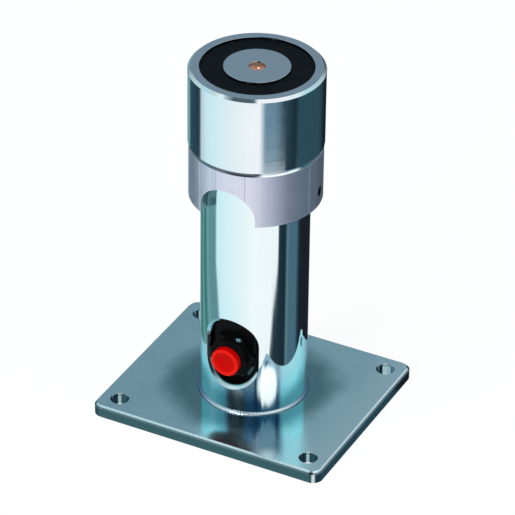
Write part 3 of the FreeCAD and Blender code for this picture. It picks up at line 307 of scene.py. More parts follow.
world = bpy.data.worlds.new("studio")
world.use_nodes = True
tree = world.node_tree
tree.nodes.clear()
direction = add(tree, "ShaderNodeTexCoord").outputs["Generated"]
towards_camera = dot(tree, direction, (math.sin(AZIMUTH), -math.cos(AZIMUTH), 0.0))
to_the_right = dot(tree, direction, (math.cos(AZIMUTH), math.sin(AZIMUTH), 0.0))
height = dot(tree, direction, (0.0, 0.0, 1.0))
bearing = maths(tree, "ARCTAN2", to_the_right, towards_camera)
print("nodes that find a ray's bearing and rise", len(tree.nodes))

# %% [markdown]
# The screens stand near the tube, so their edges draw together towards the tube's foot. A studio
# that is infinitely far away can't do that by itself, but the reflected ray also dips more towards
# the foot, so the dip is used to move the bands: bearing + t (4.5 + 20 sin(bearing)) degrees, where t
# is 0 at the tube's head and 1 at its foot. The move fades out between bearings of 40 and 60 degrees,
# because the picture's bands run straight down there.

# %% Rings joined
SHIFT = math.radians(4.5)
SQUEEZE = math.radians(20.0)
HEAD_DIP = -0.5435
FOOT_DIP = -0.5635
MOST_DRAWN_IN = 1.2
FADE_BEGINS = math.radians(40)
FADE_ENDS = math.radians(60)


def place_of(tree, bearing):
    """Place on a ring, 0 to 1: bearing / 2 pi + 0.5."""
    return maths(tree, "ADD", maths(tree, "DIVIDE", bearing, 2 * math.pi), 0.5)


dip = maths(tree, "DIVIDE", maths(tree, "SUBTRACT", HEAD_DIP, height), HEAD_DIP - FOOT_DIP)
drawn_in = add(tree, "ShaderNodeClamp", Value=dip, Min=0.0, Max=MOST_DRAWN_IN).outputs[0]
full_move = maths(tree, "MULTIPLY_ADD", maths(tree, "SINE", bearing), SQUEEZE, SHIFT)
move = times(tree, full_move, step(tree, bearing, FADE_BEGINS, FADE_ENDS, 1.0, 0.0))
low_place = place_of(tree, maths(tree, "MULTIPLY_ADD", drawn_in, move, bearing))
place = place_of(tree, bearing)
# Each level: the rise at which a ring begins, how softly, the place on the ring, and its bands.
LEVELS = (
    (-0.61, 0.004, place, FOOT_RING),
    (-0.5725, 0.0006, low_place, LOW_RING),
    (-0.5248, 0.0004, place, MAGNET_RING),
    (0.16, 0.03, place, EYE_RING),
    (0.518, 0.008, place, POOL_RING),
    (0.616, 0.006, place, LIP_RING),
    (0.757, 0.012, place, OVERHEAD_RING),
)
tone = ring(tree, place, GROUND_RING)
for level, softness, around, stops in LEVELS:
    tone = over(tree, height, level, softness, tone, ring(tree, around, stops))
print("rings joined", len(LEVELS) + 1)

# %% [markdown]
# On top come the lamp, which is an oval in bearing and rise with a soft edge, and the plain tone overhead.
# A ray straight from the camera skips all of this and meets white.

# %% Lamp and background
TOP_RISE = 0.95
TOP_SOFTNESS = 0.01
aside = maths(tree, "DIVIDE", maths(tree, "SUBTRACT", bearing, LAMP_BEARING), LAMP_HALF_WIDTH)
above = maths(tree, "DIVIDE", maths(tree, "SUBTRACT", height, LAMP_RISE), LAMP_HALF_HEIGHT)
in_lamp = step(tree, squares(tree, aside, above), 0.5, 1.0, 1.0, 0.0)
tone = blend_colour(tree, in_lamp, tone, LAMP_GLOW)
tone = over(tree, height, TOP_RISE, TOP_SOFTNESS, tone, MIST)
is_camera = add(tree, "ShaderNodeLightPath").outputs["Is Camera Ray"]
shown = blend_colour(tree, is_camera, tone, WHITE)
background = add(tree, "ShaderNodeBackground", Color=shown, Strength=1.0)
add(tree, "ShaderNodeOutputWorld", Surface=background.outputs[0])
print("nodes in the studio", len(tree.nodes))
bpy.context.scene.world = world

# %% [markdown]
# ## Floor and lamps
#
# The floor is plain and pale. The camera sees it almost white with a light contact shadow; it stays
# out of the metal's reflections, because there the studio's low bands stand for it. Two large soft
# lamps light what isn't metal, at a level at which a colour renders about as it is written.

# %% Floor and lamps
FLOOR_HALF = 4.0
FLOOR_DROP = 0.0002
FLOOR_TONE = (0.9, 0.9, 0.9, 1.0)
FLOOR_GLOW_SHARE = 0.9


def stage_plane(name, half, level):
    """Level square at a given height, with one face."""
    mesh = bpy.data.meshes.new(name)
    corners = [(-half, -half, level), (half, -half, level), (half, half, level), (-half, half, level)]
    mesh.from_pydata(corners, [], [(0, 1, 2, 3)])
    made = bpy.data.objects.new(name, mesh)
    bpy.context.scene.collection.objects.link(made)
    return made


floor = stage_plane("studio_floor", FLOOR_HALF, -FLOOR_DROP)
floor.visible_glossy = False
floor_paint = bpy.data.materials.new("floor_paint")
floor_paint.use_nodes = True
tree = floor_paint.node_tree
tree.nodes.clear()
matt = add(tree, "ShaderNodeBsdfDiffuse", Color=FLOOR_TONE)
glow = add(tree, "ShaderNodeEmission", Color=WHITE, Strength=1.0)
is_camera = add(tree, "ShaderNodeLightPath").outputs["Is Camera Ray"]
share = times(tree, is_camera, FLOOR_GLOW_SHARE)
both = add(tree, "ShaderNodeMixShader", Fac=share)
tree.links.new(matt.outputs[0], both.inputs[1])
tree.links.new(glow.outputs[0], both.inputs[2])
add(tree, "ShaderNodeOutputMaterial", Surface=both.outputs[0])
floor.data.materials.append(floor_paint)


def soft_lamp(name, bearing_degrees, elevation_degrees, distance, size, power):
    """Square area lamp that looks at the holder from a bearing to the camera's right."""
    data = bpy.data.lights.new(name, "AREA")
    data.size = size
    data.energy = power
    made = bpy.data.objects.new(name, data)
    _, _, away = camera_axes(AZIMUTH + math.radians(bearing_degrees), math.radians(elevation_degrees), 0.0)
    made.location = AIM + away * distance
    made.rotation_mode = "QUATERNION"
    made.rotation_quaternion = (-away).to_track_quat("-Z", "Y")
    made.visible_glossy = False
    bpy.context.scene.collection.objects.link(made)


soft_lamp("key_lamp", bearing_degrees=-40, elevation_degrees=50, distance=1.6, size=1.0, power=18.0)
soft_lamp("fill_lamp", bearing_degrees=60, elevation_degrees=35, distance=1.8, size=1.2, power=8.0)
print("floor's side in m", 2 * FLOOR_HALF, "lamps", len(bpy.data.lights))

# %% [markdown]
# ## Coordinates and marks
#
# All finishes are laid out in the holder's own metres. Three layouts serve nearly everything here:
# lines along the axis (drawn tube), rings round the axis (turned parts) and straight strokes at an
# angle (ground plate). Each is a noise that is squeezed in one direction and stretched in the others.

# %% Layouts
def position(tree):
    """Point of the surface in the holder's own metres."""
    return add(tree, "ShaderNodeTexCoord").outputs["Object"]


def split(tree, vector):
    """The three parts of a vector."""
    return add(tree, "ShaderNodeSeparateXYZ", Vector=vector).outputs


def joined(tree, x, y, z):
    """A vector from its three parts."""
    return add(tree, "ShaderNodeCombineXYZ", X=x, Y=y, Z=z).outputs[0]


def noise(tree, vector, scale=1.0, detail=3.0):
    """Soft noise from 0 to 1 about 0.5."""
    return add(tree, "ShaderNodeTexNoise", Vector=vector, Scale=scale, Detail=detail).outputs[0]


def radius_of(tree, x, y):
    """Distance from the axis: r = sqrt(x^2 + y^2)."""
    return maths(tree, "SQRT", squares(tree, x, y))


def reach(tree, x, y, direction):
    """How far a point lies along a direction (dx, dy) in a plane: x dx + y dy."""
    return maths(tree, "MULTIPLY_ADD", x, direction[0], times(tree, y, direction[1]))


def along_axis(tree, fineness, length=15.0):
    """Point for marks that run up and down: fine across, long in z."""
    x, y, z = split(tree, position(tree))
    return joined(tree, times(tree, x, fineness), times(tree, y, fineness), times(tree, z, length))


def turned(tree, fineness, length=6.0):
    """Point for lathe marks: fine in radius and height, long round the axis."""
    x, y, z = split(tree, position(tree))
    around = maths(tree, "ARCTAN2", y, x)
    return joined(tree, times(tree, radius_of(tree, x, y), fineness), times(tree, z, fineness),
                  times(tree, around, length))


def turned_plan(tree, angle):
    """Position along a direction in the plan, square to it, and in height."""
    x, y, z = split(tree, position(tree))
    cosine, sine = math.cos(math.radians(angle)), math.sin(math.radians(angle))
    return reach(tree, x, y, (cosine, sine)), reach(tree, x, y, (-sine, cosine)), z


def strokes(tree, angle, across, along):
    """Point for straight strokes at an angle in the plan: fine across them, long along them."""
    run, side, z = turned_plan(tree, angle)
    return joined(tree, times(tree, run, along), times(tree, side, across), times(tree, z, across))


def waves(tree, angle, pitch):
    """Even stripes at an angle in the plan, 0 to 1: 0.5 + 0.5 sin(2 pi side / pitch)."""
    _, side, _ = turned_plan(tree, angle)
    wave = maths(tree, "SINE", times(tree, side, 2 * math.pi / (pitch * MM)))
    return maths(tree, "MULTIPLY_ADD", wave, 0.5, 0.5)


# %% [markdown]
# A mask is 1 where something holds and 0 elsewhere, with a soft edge. Masks are multiplied where several
# limits hold at once.

# %% Masks and bumps
def between(tree, value, low, high, soft):
    """1 where a value lies between low and high, 0 beyond, with soft flanks."""
    rise = step(tree, value, low - soft, low + soft)
    fall = step(tree, value, high - soft, high + soft, 1.0, 0.0)
    return times(tree, rise, fall)


def within(tree, length, low, high, soft=0.1):
    """The same for a length in metres and limits in mm."""
    return between(tree, length, low * MM, high * MM, soft * MM)


def all_of(tree, *masks):
    """Product of masks: 1 only where all of them are 1."""
    total = 1.0
    for mask in masks:
        total = times(tree, total, mask)
    return total


def bump(tree, height, depth_mm):
    """Bumps of a depth in mm where a height runs from 0 to 1."""
    return add(tree, "ShaderNodeBump", Height=height, Distance=depth_mm * MM, Strength=1.0).outputs[0]


# %% [markdown]
# ## Finishes
#
# Each record slot gets one finish. A finish starts from a Principled shader, and its colour,
# roughness and bump are then driven by the layouts above, so no piece is one flat tone all over.

# %% Finish helpers
FACING = 27.0
finishes = {}


def new_finish(slot, colour, roughness, metallic=0.0, glance=0.5):
    """Material for a record slot; returns its tree and its shader node. Glance is the specular level."""
    material = bpy.data.materials.new("finish_" + slot)
    material.use_nodes = True
    material.diffuse_color = colour
    inner = material.node_tree
    inner.nodes.clear()
    shader = add(inner, "ShaderNodeBsdfPrincipled", Base_Color=colour, Roughness=roughness, Metallic=metallic,
                 Specular_IOR_Level=glance)
    add(inner, "ShaderNodeOutputMaterial", Surface=shader.outputs[0])
    finishes[slot] = material
    return inner, shader


def ranged(tree, value, amount, low=0.0, high=1.0):
    """Noise that stays near 0.5, stretched so that 0.5 +- amount fills low to high."""
    return add(tree, "ShaderNodeMapRange", Value=value, From_Min=0.5 - amount, From_Max=0.5 + amount,
               To_Min=low, To_Max=high).outputs[0]


def drive(tree, shader, **sockets):
    """Links sockets of the shader, such as Roughness, to values."""
    for socket, value in sockets.items():
        plug(tree, value, shader.inputs[socket])


def tint(tree, shader, value, first, second):
    """Lets a value of 0 to 1 move the base colour between two colours."""
    tree.links.new(blend_colour(tree, value, first, second), shader.inputs["Base Color"])


def bearing_of(tree):
    """Angle round the axis in degrees, 0 at -Y and growing towards +X."""
    x, y, z = split(tree, position(tree))
    return times(tree, maths(tree, "ARCTAN2", x, times(tree, y, -1.0)), 180 / math.pi)


def off_front(tree):
    """Degrees round the axis from the side that faces the camera."""
    return maths(tree, "ABSOLUTE", maths(tree, "SUBTRACT", bearing_of(tree), FACING))


# %% [markdown]
# ### Tube
#
# The tube is bright drawn steel and so nearly a mirror: full metallic, a very low roughness, and drawing
# marks that run along it. The window's cut face is too narrow for the studio to light it, so its light and
# shade are painted by place: painted shade on its left flank, a painted matt blue reflection at the
# flank's upper end, and a duller lower lip with a greener painted shade along its inner part.

# %% Tube and the window's cut face
tree, shader = new_finish("tube_steel", (0.84, 0.94, 0.95, 1.0), 0.04, 1.0)
drawn = noise(tree, along_axis(tree, 1500.0, 3.0))
cloud = noise(tree, position(tree), 45.0)
wall = blend_colour(tree, cloud, (0.84, 0.935, 0.95, 1.0), (0.90, 0.965, 0.97, 1.0))
x, y, z = split(tree, position(tree))
radius = radius_of(tree, x, y)
cut_face = all_of(tree, within(tree, radius, 20.0, 25.44, 0.03), within(tree, y, -30.0, -15.0))
left_flank = all_of(tree, cut_face, within(tree, x, -16.0, -6.0))
shaded_flank = all_of(tree, left_flank, within(tree, z, 22.5, 44.5, 2.0))
painted_reflection_edge = all_of(tree, left_flank, within(tree, z, 44.5, 58.0, 2.5))
low_lip = all_of(tree, cut_face, within(tree, z, 10.0, 30.0))
shaded_inner_lip = all_of(tree, low_lip, within(tree, radius, 20.0, 24.2, 0.3))
# Painted shade on the left flank, a painted reflection at its upper end, painted shade on the lip's inner
# part.
wall = blend_colour(tree, shaded_flank, wall, (0.02, 0.03, 0.035, 1.0))
wall = blend_colour(tree, painted_reflection_edge, wall, (0.30, 0.62, 0.72, 1.0))
wall = blend_colour(tree, shaded_inner_lip, wall, (0.16, 0.40, 0.40, 1.0))
print("nodes in the tube's finish so far", len(tree.nodes))

# %% [markdown]
# Near the tube's foot a painted highlight stands for a white glare with a blue rim. It is no band of the
# studio here, but a ragged oval painted on the tube's skin, matt and white: an ellipse in bearing and
# height, whose edge is broken up by a noise that runs along the tube.

# %% Painted glare at the tube's foot
GLARE_BEARING, GLARE_HALF_WIDTH = 42.5, 13.0
GLARE_LEVEL, GLARE_HALF_HEIGHT = 22.0, 15.0
aside = maths(tree, "MULTIPLY_ADD", bearing_of(tree), 1 / GLARE_HALF_WIDTH, -GLARE_BEARING / GLARE_HALF_WIDTH)
above = maths(tree, "MULTIPLY_ADD", z, 1 / (GLARE_HALF_HEIGHT * MM), -GLARE_LEVEL / GLARE_HALF_HEIGHT)
broken = noise(tree, along_axis(tree, 500.0, 4.0))
ragged = maths(tree, "MULTIPLY_ADD", broken, 0.9, squares(tree, aside, above))
outside = step(tree, radius, 24.9 * MM, 25.0 * MM)
spot = all_of(tree, step(tree, ragged, 0.7, 1.9, 1.0, 0.0), outside)
painted_glare_spot = maths(tree, "POWER", spot, 2.5)
# Painted highlight: white in the middle of the glare, blue at its rim.
glare = blend_colour(tree, step(tree, spot, 0.3, 0.9), (0.10, 0.55, 0.75, 1.0), WHITE)
tint(tree, shader, painted_glare_spot, wall, glare)
matt = maths(tree, "MAXIMUM", painted_glare_spot, times(tree, painted_reflection_edge, 0.75))
dull = maths(tree, "MAXIMUM", low_lip, matt)
drive(tree, shader, Roughness=maths(tree, "MULTIPLY_ADD", dull, 0.22, times(tree, drawn, 0.08)),
      Metallic=step(tree, matt, 0.0, 1.0, 1.0, 0.0), Normal=bump(tree, drawn, 0.0012))
print("nodes in the tube's finish", len(tree.nodes))

# %% [markdown]
# ### Weld
#
# The weld is dressed steel with a grain coarser than the tube's. It is painted brightest where it faces
# the camera and goes over to a painted blue-grey shade at the sides.

# %% Weld
tree, shader = new_finish("weld_steel", (0.88, 0.88, 0.93, 1.0), 0.25, 1.0)
beads = noise(tree, position(tree), 900.0)
bright_bead = blend_colour(tree, beads, (0.80, 0.82, 0.88, 1.0), (0.93, 0.93, 0.96, 1.0))
# Painted light and shade: bright on the side that faces the camera, blue-grey shade away from it.
tint(tree, shader, step(tree, off_front(tree), 20.0, 80.0), bright_bead, (0.16, 0.24, 0.40, 1.0))
drive(tree, shader, Roughness=ranged(tree, beads, 0.3, 0.18, 0.34), Normal=bump(tree, beads, 0.03))
print("nodes in the weld's finish", len(tree.nodes))

# %% [markdown]
# ### Collar
#
# The collar is turned, satin aluminium with a lilac cast, patchy and streaked up and down. A few fine
# lines run up its side, dark ones and painted bright highlights: each is a narrow peak at one bearing
# round the axis, counted in degrees from the arch. Its top edge is smoother, with a painted highlight over
# a short stretch and painted shade elsewhere. The arch's wall carries a dark teal painted shade, and the
# grub-screw holes a nearly black painted shade inside.

# %% Lines at set bearings
COLLAR_DARK_LINES = (-11.5, -9.0, 18.0)
COLLAR_HIGHLIGHT_LINES = (-28.0, 78.7)


def lines_at(tree, bearing, places, width):
    """1 on each line and 0 beyond its width, with a soft flank."""
    total = 0.0
    for centre in places:
        off = maths(tree, "ABSOLUTE", maths(tree, "SUBTRACT", bearing, centre))
        total = maths(tree, "ADD", total, step(tree, off, width * 0.4, width, 1.0, 0.0))
    return total


print("lines on the collar", len(COLLAR_DARK_LINES) + len(COLLAR_HIGHLIGHT_LINES))

# %% Collar
tree, shader = new_finish("collar_aluminium", (0.78, 0.74, 0.86, 1.0), 0.33, 0.9)
lathe = noise(tree, turned(tree, 3800.0, 3.0))
patches = noise(tree, turned(tree, 130.0, 5.0))
streaks = ranged(tree, noise(tree, along_axis(tree, 900.0, 2.0)), 0.2)
skin = blend_colour(tree, patches, (0.75, 0.71, 0.84, 1.0), (0.82, 0.78, 0.90, 1.0))
skin = blend_colour(tree, times(tree, streaks, 0.3), skin, (0.62, 0.60, 0.70, 1.0))
bearing = bearing_of(tree)
dark_lines = times(tree, lines_at(tree, bearing, COLLAR_DARK_LINES, 0.6), 0.45)
skin = blend_colour(tree, dark_lines, skin, (0.26, 0.27, 0.33, 1.0))
# Painted highlights: bright lines at set bearings.
skin = blend_colour(tree, lines_at(tree, bearing, COLLAR_HIGHLIGHT_LINES, 0.9), skin, (1.3, 1.3, 1.3, 1.0))
x, y, z = split(tree, position(tree))
under_skin = within(tree, radius_of(tree, x, y), 20.0, 30.9)
top_edge = within(tree, z, 140.35, 141.9, 0.05)
# Painted highlight on a short stretch of the top edge, painted shade on the rest of it.
edge_highlight_and_shade = blend_colour(tree, between(tree, bearing, 31.0, 66.0, 4.0), (0.16, 0.18, 0.21, 1.0), WHITE)
skin = blend_colour(tree, top_edge, skin, edge_highlight_and_shade)
# Painted shade: dark teal on the arch's wall, nearly black inside the grub-screw holes.
shaded_arch_wall = all_of(tree, under_skin, within(tree, y, -32.0, -12.0), within(tree, z, 110.0, 135.0))
skin = blend_colour(tree, shaded_arch_wall, skin, (0.16, 0.30, 0.32, 1.0))
shaded_grub_holes = all_of(tree, under_skin, within(tree, z, 117.0, 125.0),
                    step(tree, maths(tree, "ABSOLUTE", bearing), 60.0, 61.0))
tint(tree, shader, shaded_grub_holes, skin, (0.02, 0.02, 0.025, 1.0))
satin = maths(tree, "MULTIPLY_ADD", patches, 0.2, 0.24)
satin = maths(tree, "MULTIPLY_ADD", top_edge, -0.26, satin)
drive(tree, shader, Roughness=satin, Normal=bump(tree, lathe, 0.006))
print("nodes in the collar's finish", len(tree.nodes))

# %% [markdown]
# ### Magnet pot
#
# The pot is turned steel with bright zinc on it, so it gets fine lathe rings and two close tones of zinc.
# What lies below the pole face is darkened with painted shade: the groove is nearly black, the pin's bore
# holds a brown painted reflection of the pin, and the pot's lower rim a dark painted shadow at its joint
# with the collar. The top bevel is duller away from the camera's side.

# %% Magnet pot
tree, shader = new_finish("pot_zinc", (0.88, 0.91, 0.93, 1.0), 0.05, 1.0)
lathe = noise(tree, turned(tree, 2400.0, 1.5))
patches = noise(tree, position(tree), 60.0)
zinc = blend_colour(tree, patches, (0.84, 0.885, 0.91, 1.0), (0.90, 0.925, 0.94, 1.0))
x, y, z = split(tree, position(tree))
radius = radius_of(tree, x, y)
below_face = within(tree, z, 100.0, 180.46, 0.02)
groove = all_of(tree, below_face, within(tree, radius, 0.0, 27.5))
bore = all_of(tree, below_face, within(tree, radius, 0.0, 5.0))
# Painted shade in the groove and at the lower rim, painted reflection of the pin in its bore.
zinc = blend_colour(tree, groove, zinc, (0.05, 0.06, 0.07, 1.0))
zinc = blend_colour(tree, within(tree, z, 130.0, 142.1, 0.15), zinc, (0.10, 0.12, 0.14, 1.0))
tint(tree, shader, bore, zinc, (0.34, 0.20, 0.16, 1.0))
top_bevel = all_of(tree, within(tree, z, 179.3, 180.44, 0.03), within(tree, radius, 30.2, 33.0))
worn_bevel = all_of(tree, top_bevel, step(tree, off_front(tree), 32.0, 42.0))
polish = ranged(tree, lathe, 0.3, 0.03, 0.08)
polish = maths(tree, "MULTIPLY_ADD", worn_bevel, 0.28, polish)
drive(tree, shader, Roughness=polish, Normal=bump(tree, lathe, 0.0006))
print("nodes in the pot's finish", len(tree.nodes))

# %% [markdown]
# ### Plate
#
# The plate was ground in two directions and then plated, so two sets of strokes cross on its top. An even
# hatch lies over them and grows stronger to the right, and a broad stain shows under them. Towards its
# right end the plate is paler: a painted pool of light.

# %% Plate's ground face
HATCH_PITCH = 1.5
tree, shader = new_finish("plate_steel", (0.72, 0.82, 0.86, 1.0), 0.16, 1.0)
first = noise(tree, strokes(tree, 33, 1800.0, 60.0))
second = noise(tree, strokes(tree, -51, 1800.0, 60.0))
crossed = times(tree, maths(tree, "ADD", first, second), 0.5)
stain = noise(tree, position(tree), 38.0)
x, y, z = split(tree, position(tree))
weave = maths(tree, "ADD", waves(tree, 93, HATCH_PITCH), waves(tree, -35, HATCH_PITCH))
hatch = times(tree, weave, step(tree, x, -50 * MM, 5 * MM, 0.10, 0.28))
ground = maths(tree, "MULTIPLY_ADD", ranged(tree, stain, 0.25), 0.26, hatch)
ground = maths(tree, "MULTIPLY_ADD", ranged(tree, crossed, 0.14), 0.18, ground)
face = blend_colour(tree, ground, (0.54, 0.67, 0.73, 1.0), (0.90, 0.96, 0.98, 1.0))
# Painted light: paler towards the plate's right end.
face = blend_colour(tree, step(tree, x, 36 * MM, 60 * MM, 0.0, 0.6), face, WHITE)
print("nodes in the plate's ground face", len(tree.nodes))

# %% [markdown]
# Round the tube the plating carries a darker teal painted shade, out to a ragged rim: the radius at which
# it ends is moved by the stain. In front of the tube a strip of the plate carries a deep blue painted
# reflection.

# %% Painted shade round the tube and a painted reflection strip
STRIP_ACROSS = (0.873, 0.486)
STRIP_AWAY = (-0.486, 0.873)
STRIP_SHARE = 0.9
radius = radius_of(tree, x, y)
# Painted shade round the tube.
ragged = maths(tree, "MULTIPLY_ADD", stain, 14 * MM, radius)
tube_shade = blend_colour(tree, step(tree, ragged, 39 * MM, 54 * MM), (0.32, 0.42, 0.44, 1.0), WHITE)
face = blend_colour(tree, 1.0, face, tube_shade, "MULTIPLY")
# Painted reflection: a deep blue strip in front of the tube.
strip_sides = within(tree, reach(tree, x, y, STRIP_ACROSS), -0.3, 11.7, 2.5)
strip_front = step(tree, reach(tree, x, y, STRIP_AWAY), -64 * MM, -50 * MM)
strip = all_of(tree, strip_sides, strip_front, step(tree, y, -14 * MM, -18 * MM))
face = blend_colour(tree, times(tree, strip, STRIP_SHARE), face, (0.04, 0.14, 0.20, 1.0))
print("nodes with smudge and strip", len(tree.nodes))

# %% [markdown]
# The sides are smooth, and greyer than the top. The holes' walls are darker again with painted shade, and
# so is the lower half of the bevel, which leaves a thin bright line along the edge as a painted highlight.
# The four holes lie alike about both axes, so one distance, taken from |x| and |y|, finds them all.

# %% Plate's sides and holes
HOLE_X = 50.0
HOLE_Y = 41.0
hole_x = maths(tree, "SUBTRACT", maths(tree, "ABSOLUTE", x), HOLE_X * MM)
hole_y = maths(tree, "SUBTRACT", maths(tree, "ABSOLUTE", y), HOLE_Y * MM)
in_hole = step(tree, radius_of(tree, hole_x, hole_y), 4.8 * MM, 5.0 * MM, 1.0, 0.0)
sawn = within(tree, z, -1.0, 5.5)
shaded_hole_wall = all_of(tree, sawn, in_hole)
# Painted shade on the holes' walls and on the lower half of the bevel.
wall = blend_colour(tree, shaded_hole_wall, (0.62, 0.68, 0.72, 1.0), (0.34, 0.48, 0.52, 1.0))
wall = blend_colour(tree, within(tree, z, 4.72, 5.25, 0.06), wall, (0.13, 0.19, 0.21, 1.0))
tint(tree, shader, sawn, face, wall)
on_top = maths(tree, "SUBTRACT", 1.0, sawn)
scored = times(tree, crossed, on_top)
outer = step(tree, radius, 34 * MM, 56 * MM, 0.0, 0.09)
satin = maths(tree, "MULTIPLY_ADD", outer, on_top, 0.03)
satin = maths(tree, "MULTIPLY_ADD", scored, 0.16, satin)
drive(tree, shader, Roughness=satin, Normal=bump(tree, scored, 0.005))
print("nodes in the plate's finish", len(tree.nodes))

# %% [markdown]
# ### Pole face
#
# Black resin fills the pot's groove. It was poured, so its skin flows: a low, soft bump and a roughness
# that wanders.

# %% Resin
tree, shader = new_finish("black_resin", (0.004, 0.005, 0.006, 1.0), 0.22, glance=0.03)
flow = noise(tree, position(tree), 220.0)
tint(tree, shader, flow, (0.002, 0.003, 0.004, 1.0), (0.006, 0.007, 0.008, 1.0))
drive(tree, shader, Roughness=ranged(tree, flow, 0.3, 0.16, 0.32), Normal=bump(tree, flow, 0.05))
print("nodes in the resin's finish", len(tree.nodes))

# %% [markdown]
# The pin in the middle is turned bronze, with one small painted highlight off its centre.

# %% Pin
tree, shader = new_finish("pin_bronze", (0.86, 0.34, 0.20, 1.0), 0.2, 1.0)
lathe = noise(tree, turned(tree, 2600.0, 1.0))
bronze = blend_colour(tree, lathe, (0.80, 0.23, 0.12, 1.0), (1.0, 0.40, 0.23, 1.0))
x, y, z = split(tree, position(tree))
spot_x = maths(tree, "SUBTRACT", x, 1.5 * MM)
spot_y = maths(tree, "ADD", y, 1.7 * MM)
# Painted highlight: one small bright spot off the pin's centre.
painted_glint = step(tree, radius_of(tree, spot_x, spot_y), 0.3 * MM, 0.7 * MM, 1.0, 0.0)
tint(tree, shader, painted_glint, bronze, (1.0, 0.80, 0.64, 1.0))
drive(tree, shader, Metallic=maths(tree, "MULTIPLY_ADD", painted_glint, -0.85, 1.0), Normal=bump(tree, lathe, 0.01))
print("nodes in the pin's finish", len(tree.nodes))

# %% [markdown]
# ### Mouldings
#
# The parts round the button are satin black mouldings, and nylon, rubber and covered leads are inside.
# A moulded face is never quite smooth: a low, broad unevenness bends its highlights, and a fine grain
# softens them.

# %% Mouldings
MOULDINGS = {
    "black_moulding": ((0.002, 0.002, 0.002, 1.0), (0.004, 0.004, 0.004, 1.0), 0.14, 0.24, 0.01, 0.06),
    "natural_plastic": (linear(232, 228, 212), linear(220, 214, 196), 0.32, 0.45, 0.01, 0.5),
    "grommet_rubber": ((0.018, 0.018, 0.018, 1.0), (0.034, 0.033, 0.032, 1.0), 0.60, 0.75, 0.02, 0.4),
    "lead_covering": (linear(176, 22, 18), linear(158, 16, 14), 0.28, 0.40, 0.01, 0.5),
    "diode_case": ((0.014, 0.014, 0.015, 1.0), (0.026, 0.026, 0.027, 1.0), 0.25, 0.38, 0.01, 0.5),
}
moulded = {}
for slot, (first, second, smooth, rough, depth, glance) in MOULDINGS.items():
    tree, shader = new_finish(slot, first, smooth, glance=glance)
    grain = noise(tree, position(tree), 2600.0, 2.0)
    moulded[slot] = blend_colour(tree, noise(tree, position(tree), 160.0, 1.0), first, second)
    drive(tree, shader, Roughness=ranged(tree, grain, 0.25, smooth, rough), Normal=bump(tree, grain, depth))
    tree.links.new(moulded[slot], shader.inputs["Base Color"])
print("mouldings", len(moulded))

# %% [markdown]
# Two more small glints on the black parts round the button are painted on: one on the nut's upper edge,
# and a streak down the panel's lower right. More bright spots in the studio would show on the metal as
# well.

# %% Painted glints
STREAK_ALONG = (0.502, 0.865)
STREAK_ACROSS = (0.865, -0.502)
black = finishes["black_moulding"].node_tree
black_shader = next(node for node in black.nodes if node.type == "BSDF_PRINCIPLED")
x, y, z = split(black, position(black))
# Painted glints: paler places on the nut's upper edge and in a streak on the panel.
nut_glint = all_of(black, within(black, x, 2.6, 4.7, 0.4), within(black, z, 45.2, 46.7, 0.3),
                  step(black, y, -22.4 * MM, -22.8 * MM))
streak_x = maths(black, "SUBTRACT", x, 8.6 * MM)
streak_z = maths(black, "SUBTRACT", z, 28.4 * MM)
streak_width = within(black, reach(black, streak_x, streak_z, STREAK_ACROSS), -0.6, 0.6, 0.4)
streak_length = within(black, reach(black, streak_x, streak_z, STREAK_ALONG), -2.8, 2.8, 1.2)
streak = all_of(black, streak_width, streak_length, within(black, y, -21.0, -18.0))
painted_glint = maths(black, "MAXIMUM", nut_glint, times(black, streak, 0.8))
tint(black, black_shader, painted_glint, moulded["black_moulding"], (0.09, 0.16, 0.19, 1.0))
print("nodes in the black moulding's finish", len(black.nodes))

# %% [markdown]
# ### Red button
#
# The button is glossy red plastic with a raised rim round a dished face. Light runs round inside such a
# plastic and leaves it at the rim, so the rim is painted paler than the dish, as painted light. The
# colour follows the distance from the button's own axis, and so it stays in place when the button is
# pressed.

# %% Red button
button_low, button_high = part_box("button_cap")
button_level = (button_low.z + button_high.z) / 2 / MM
tree, shader = new_finish("red_plastic", linear(190, 5, 0), 0.2, glance=0.04)
x, y, z = split(tree, position(tree))
from_axis = radius_of(tree, x, maths(tree, "SUBTRACT", z, button_level * MM))
rim_begins = step(tree, from_axis, 4.6 * MM, 5.8 * MM)
rim_ends = step(tree, from_axis, 6.7 * MM, 7.1 * MM)
cloudy = noise(tree, position(tree), 260.0, 1.0)
grain = noise(tree, position(tree), 2600.0, 2.0)
dish = blend_colour(tree, cloudy, linear(188, 4, 0), linear(168, 2, 0))
# Painted light on the rim.
tint(tree, shader, maths(tree, "SUBTRACT", rim_begins, rim_ends), dish, linear(212, 24, 12))
drive(tree, shader, Roughness=ranged(tree, grain, 0.25, 0.16, 0.28), Normal=bump(tree, cloudy, 0.02))
print("button's height above the floor in mm", round(button_level, 2))

# %% [markdown]
# ### Small metal parts
#
# Screws, clamps, springs and the winding are small and mostly hidden, so they share one recipe.

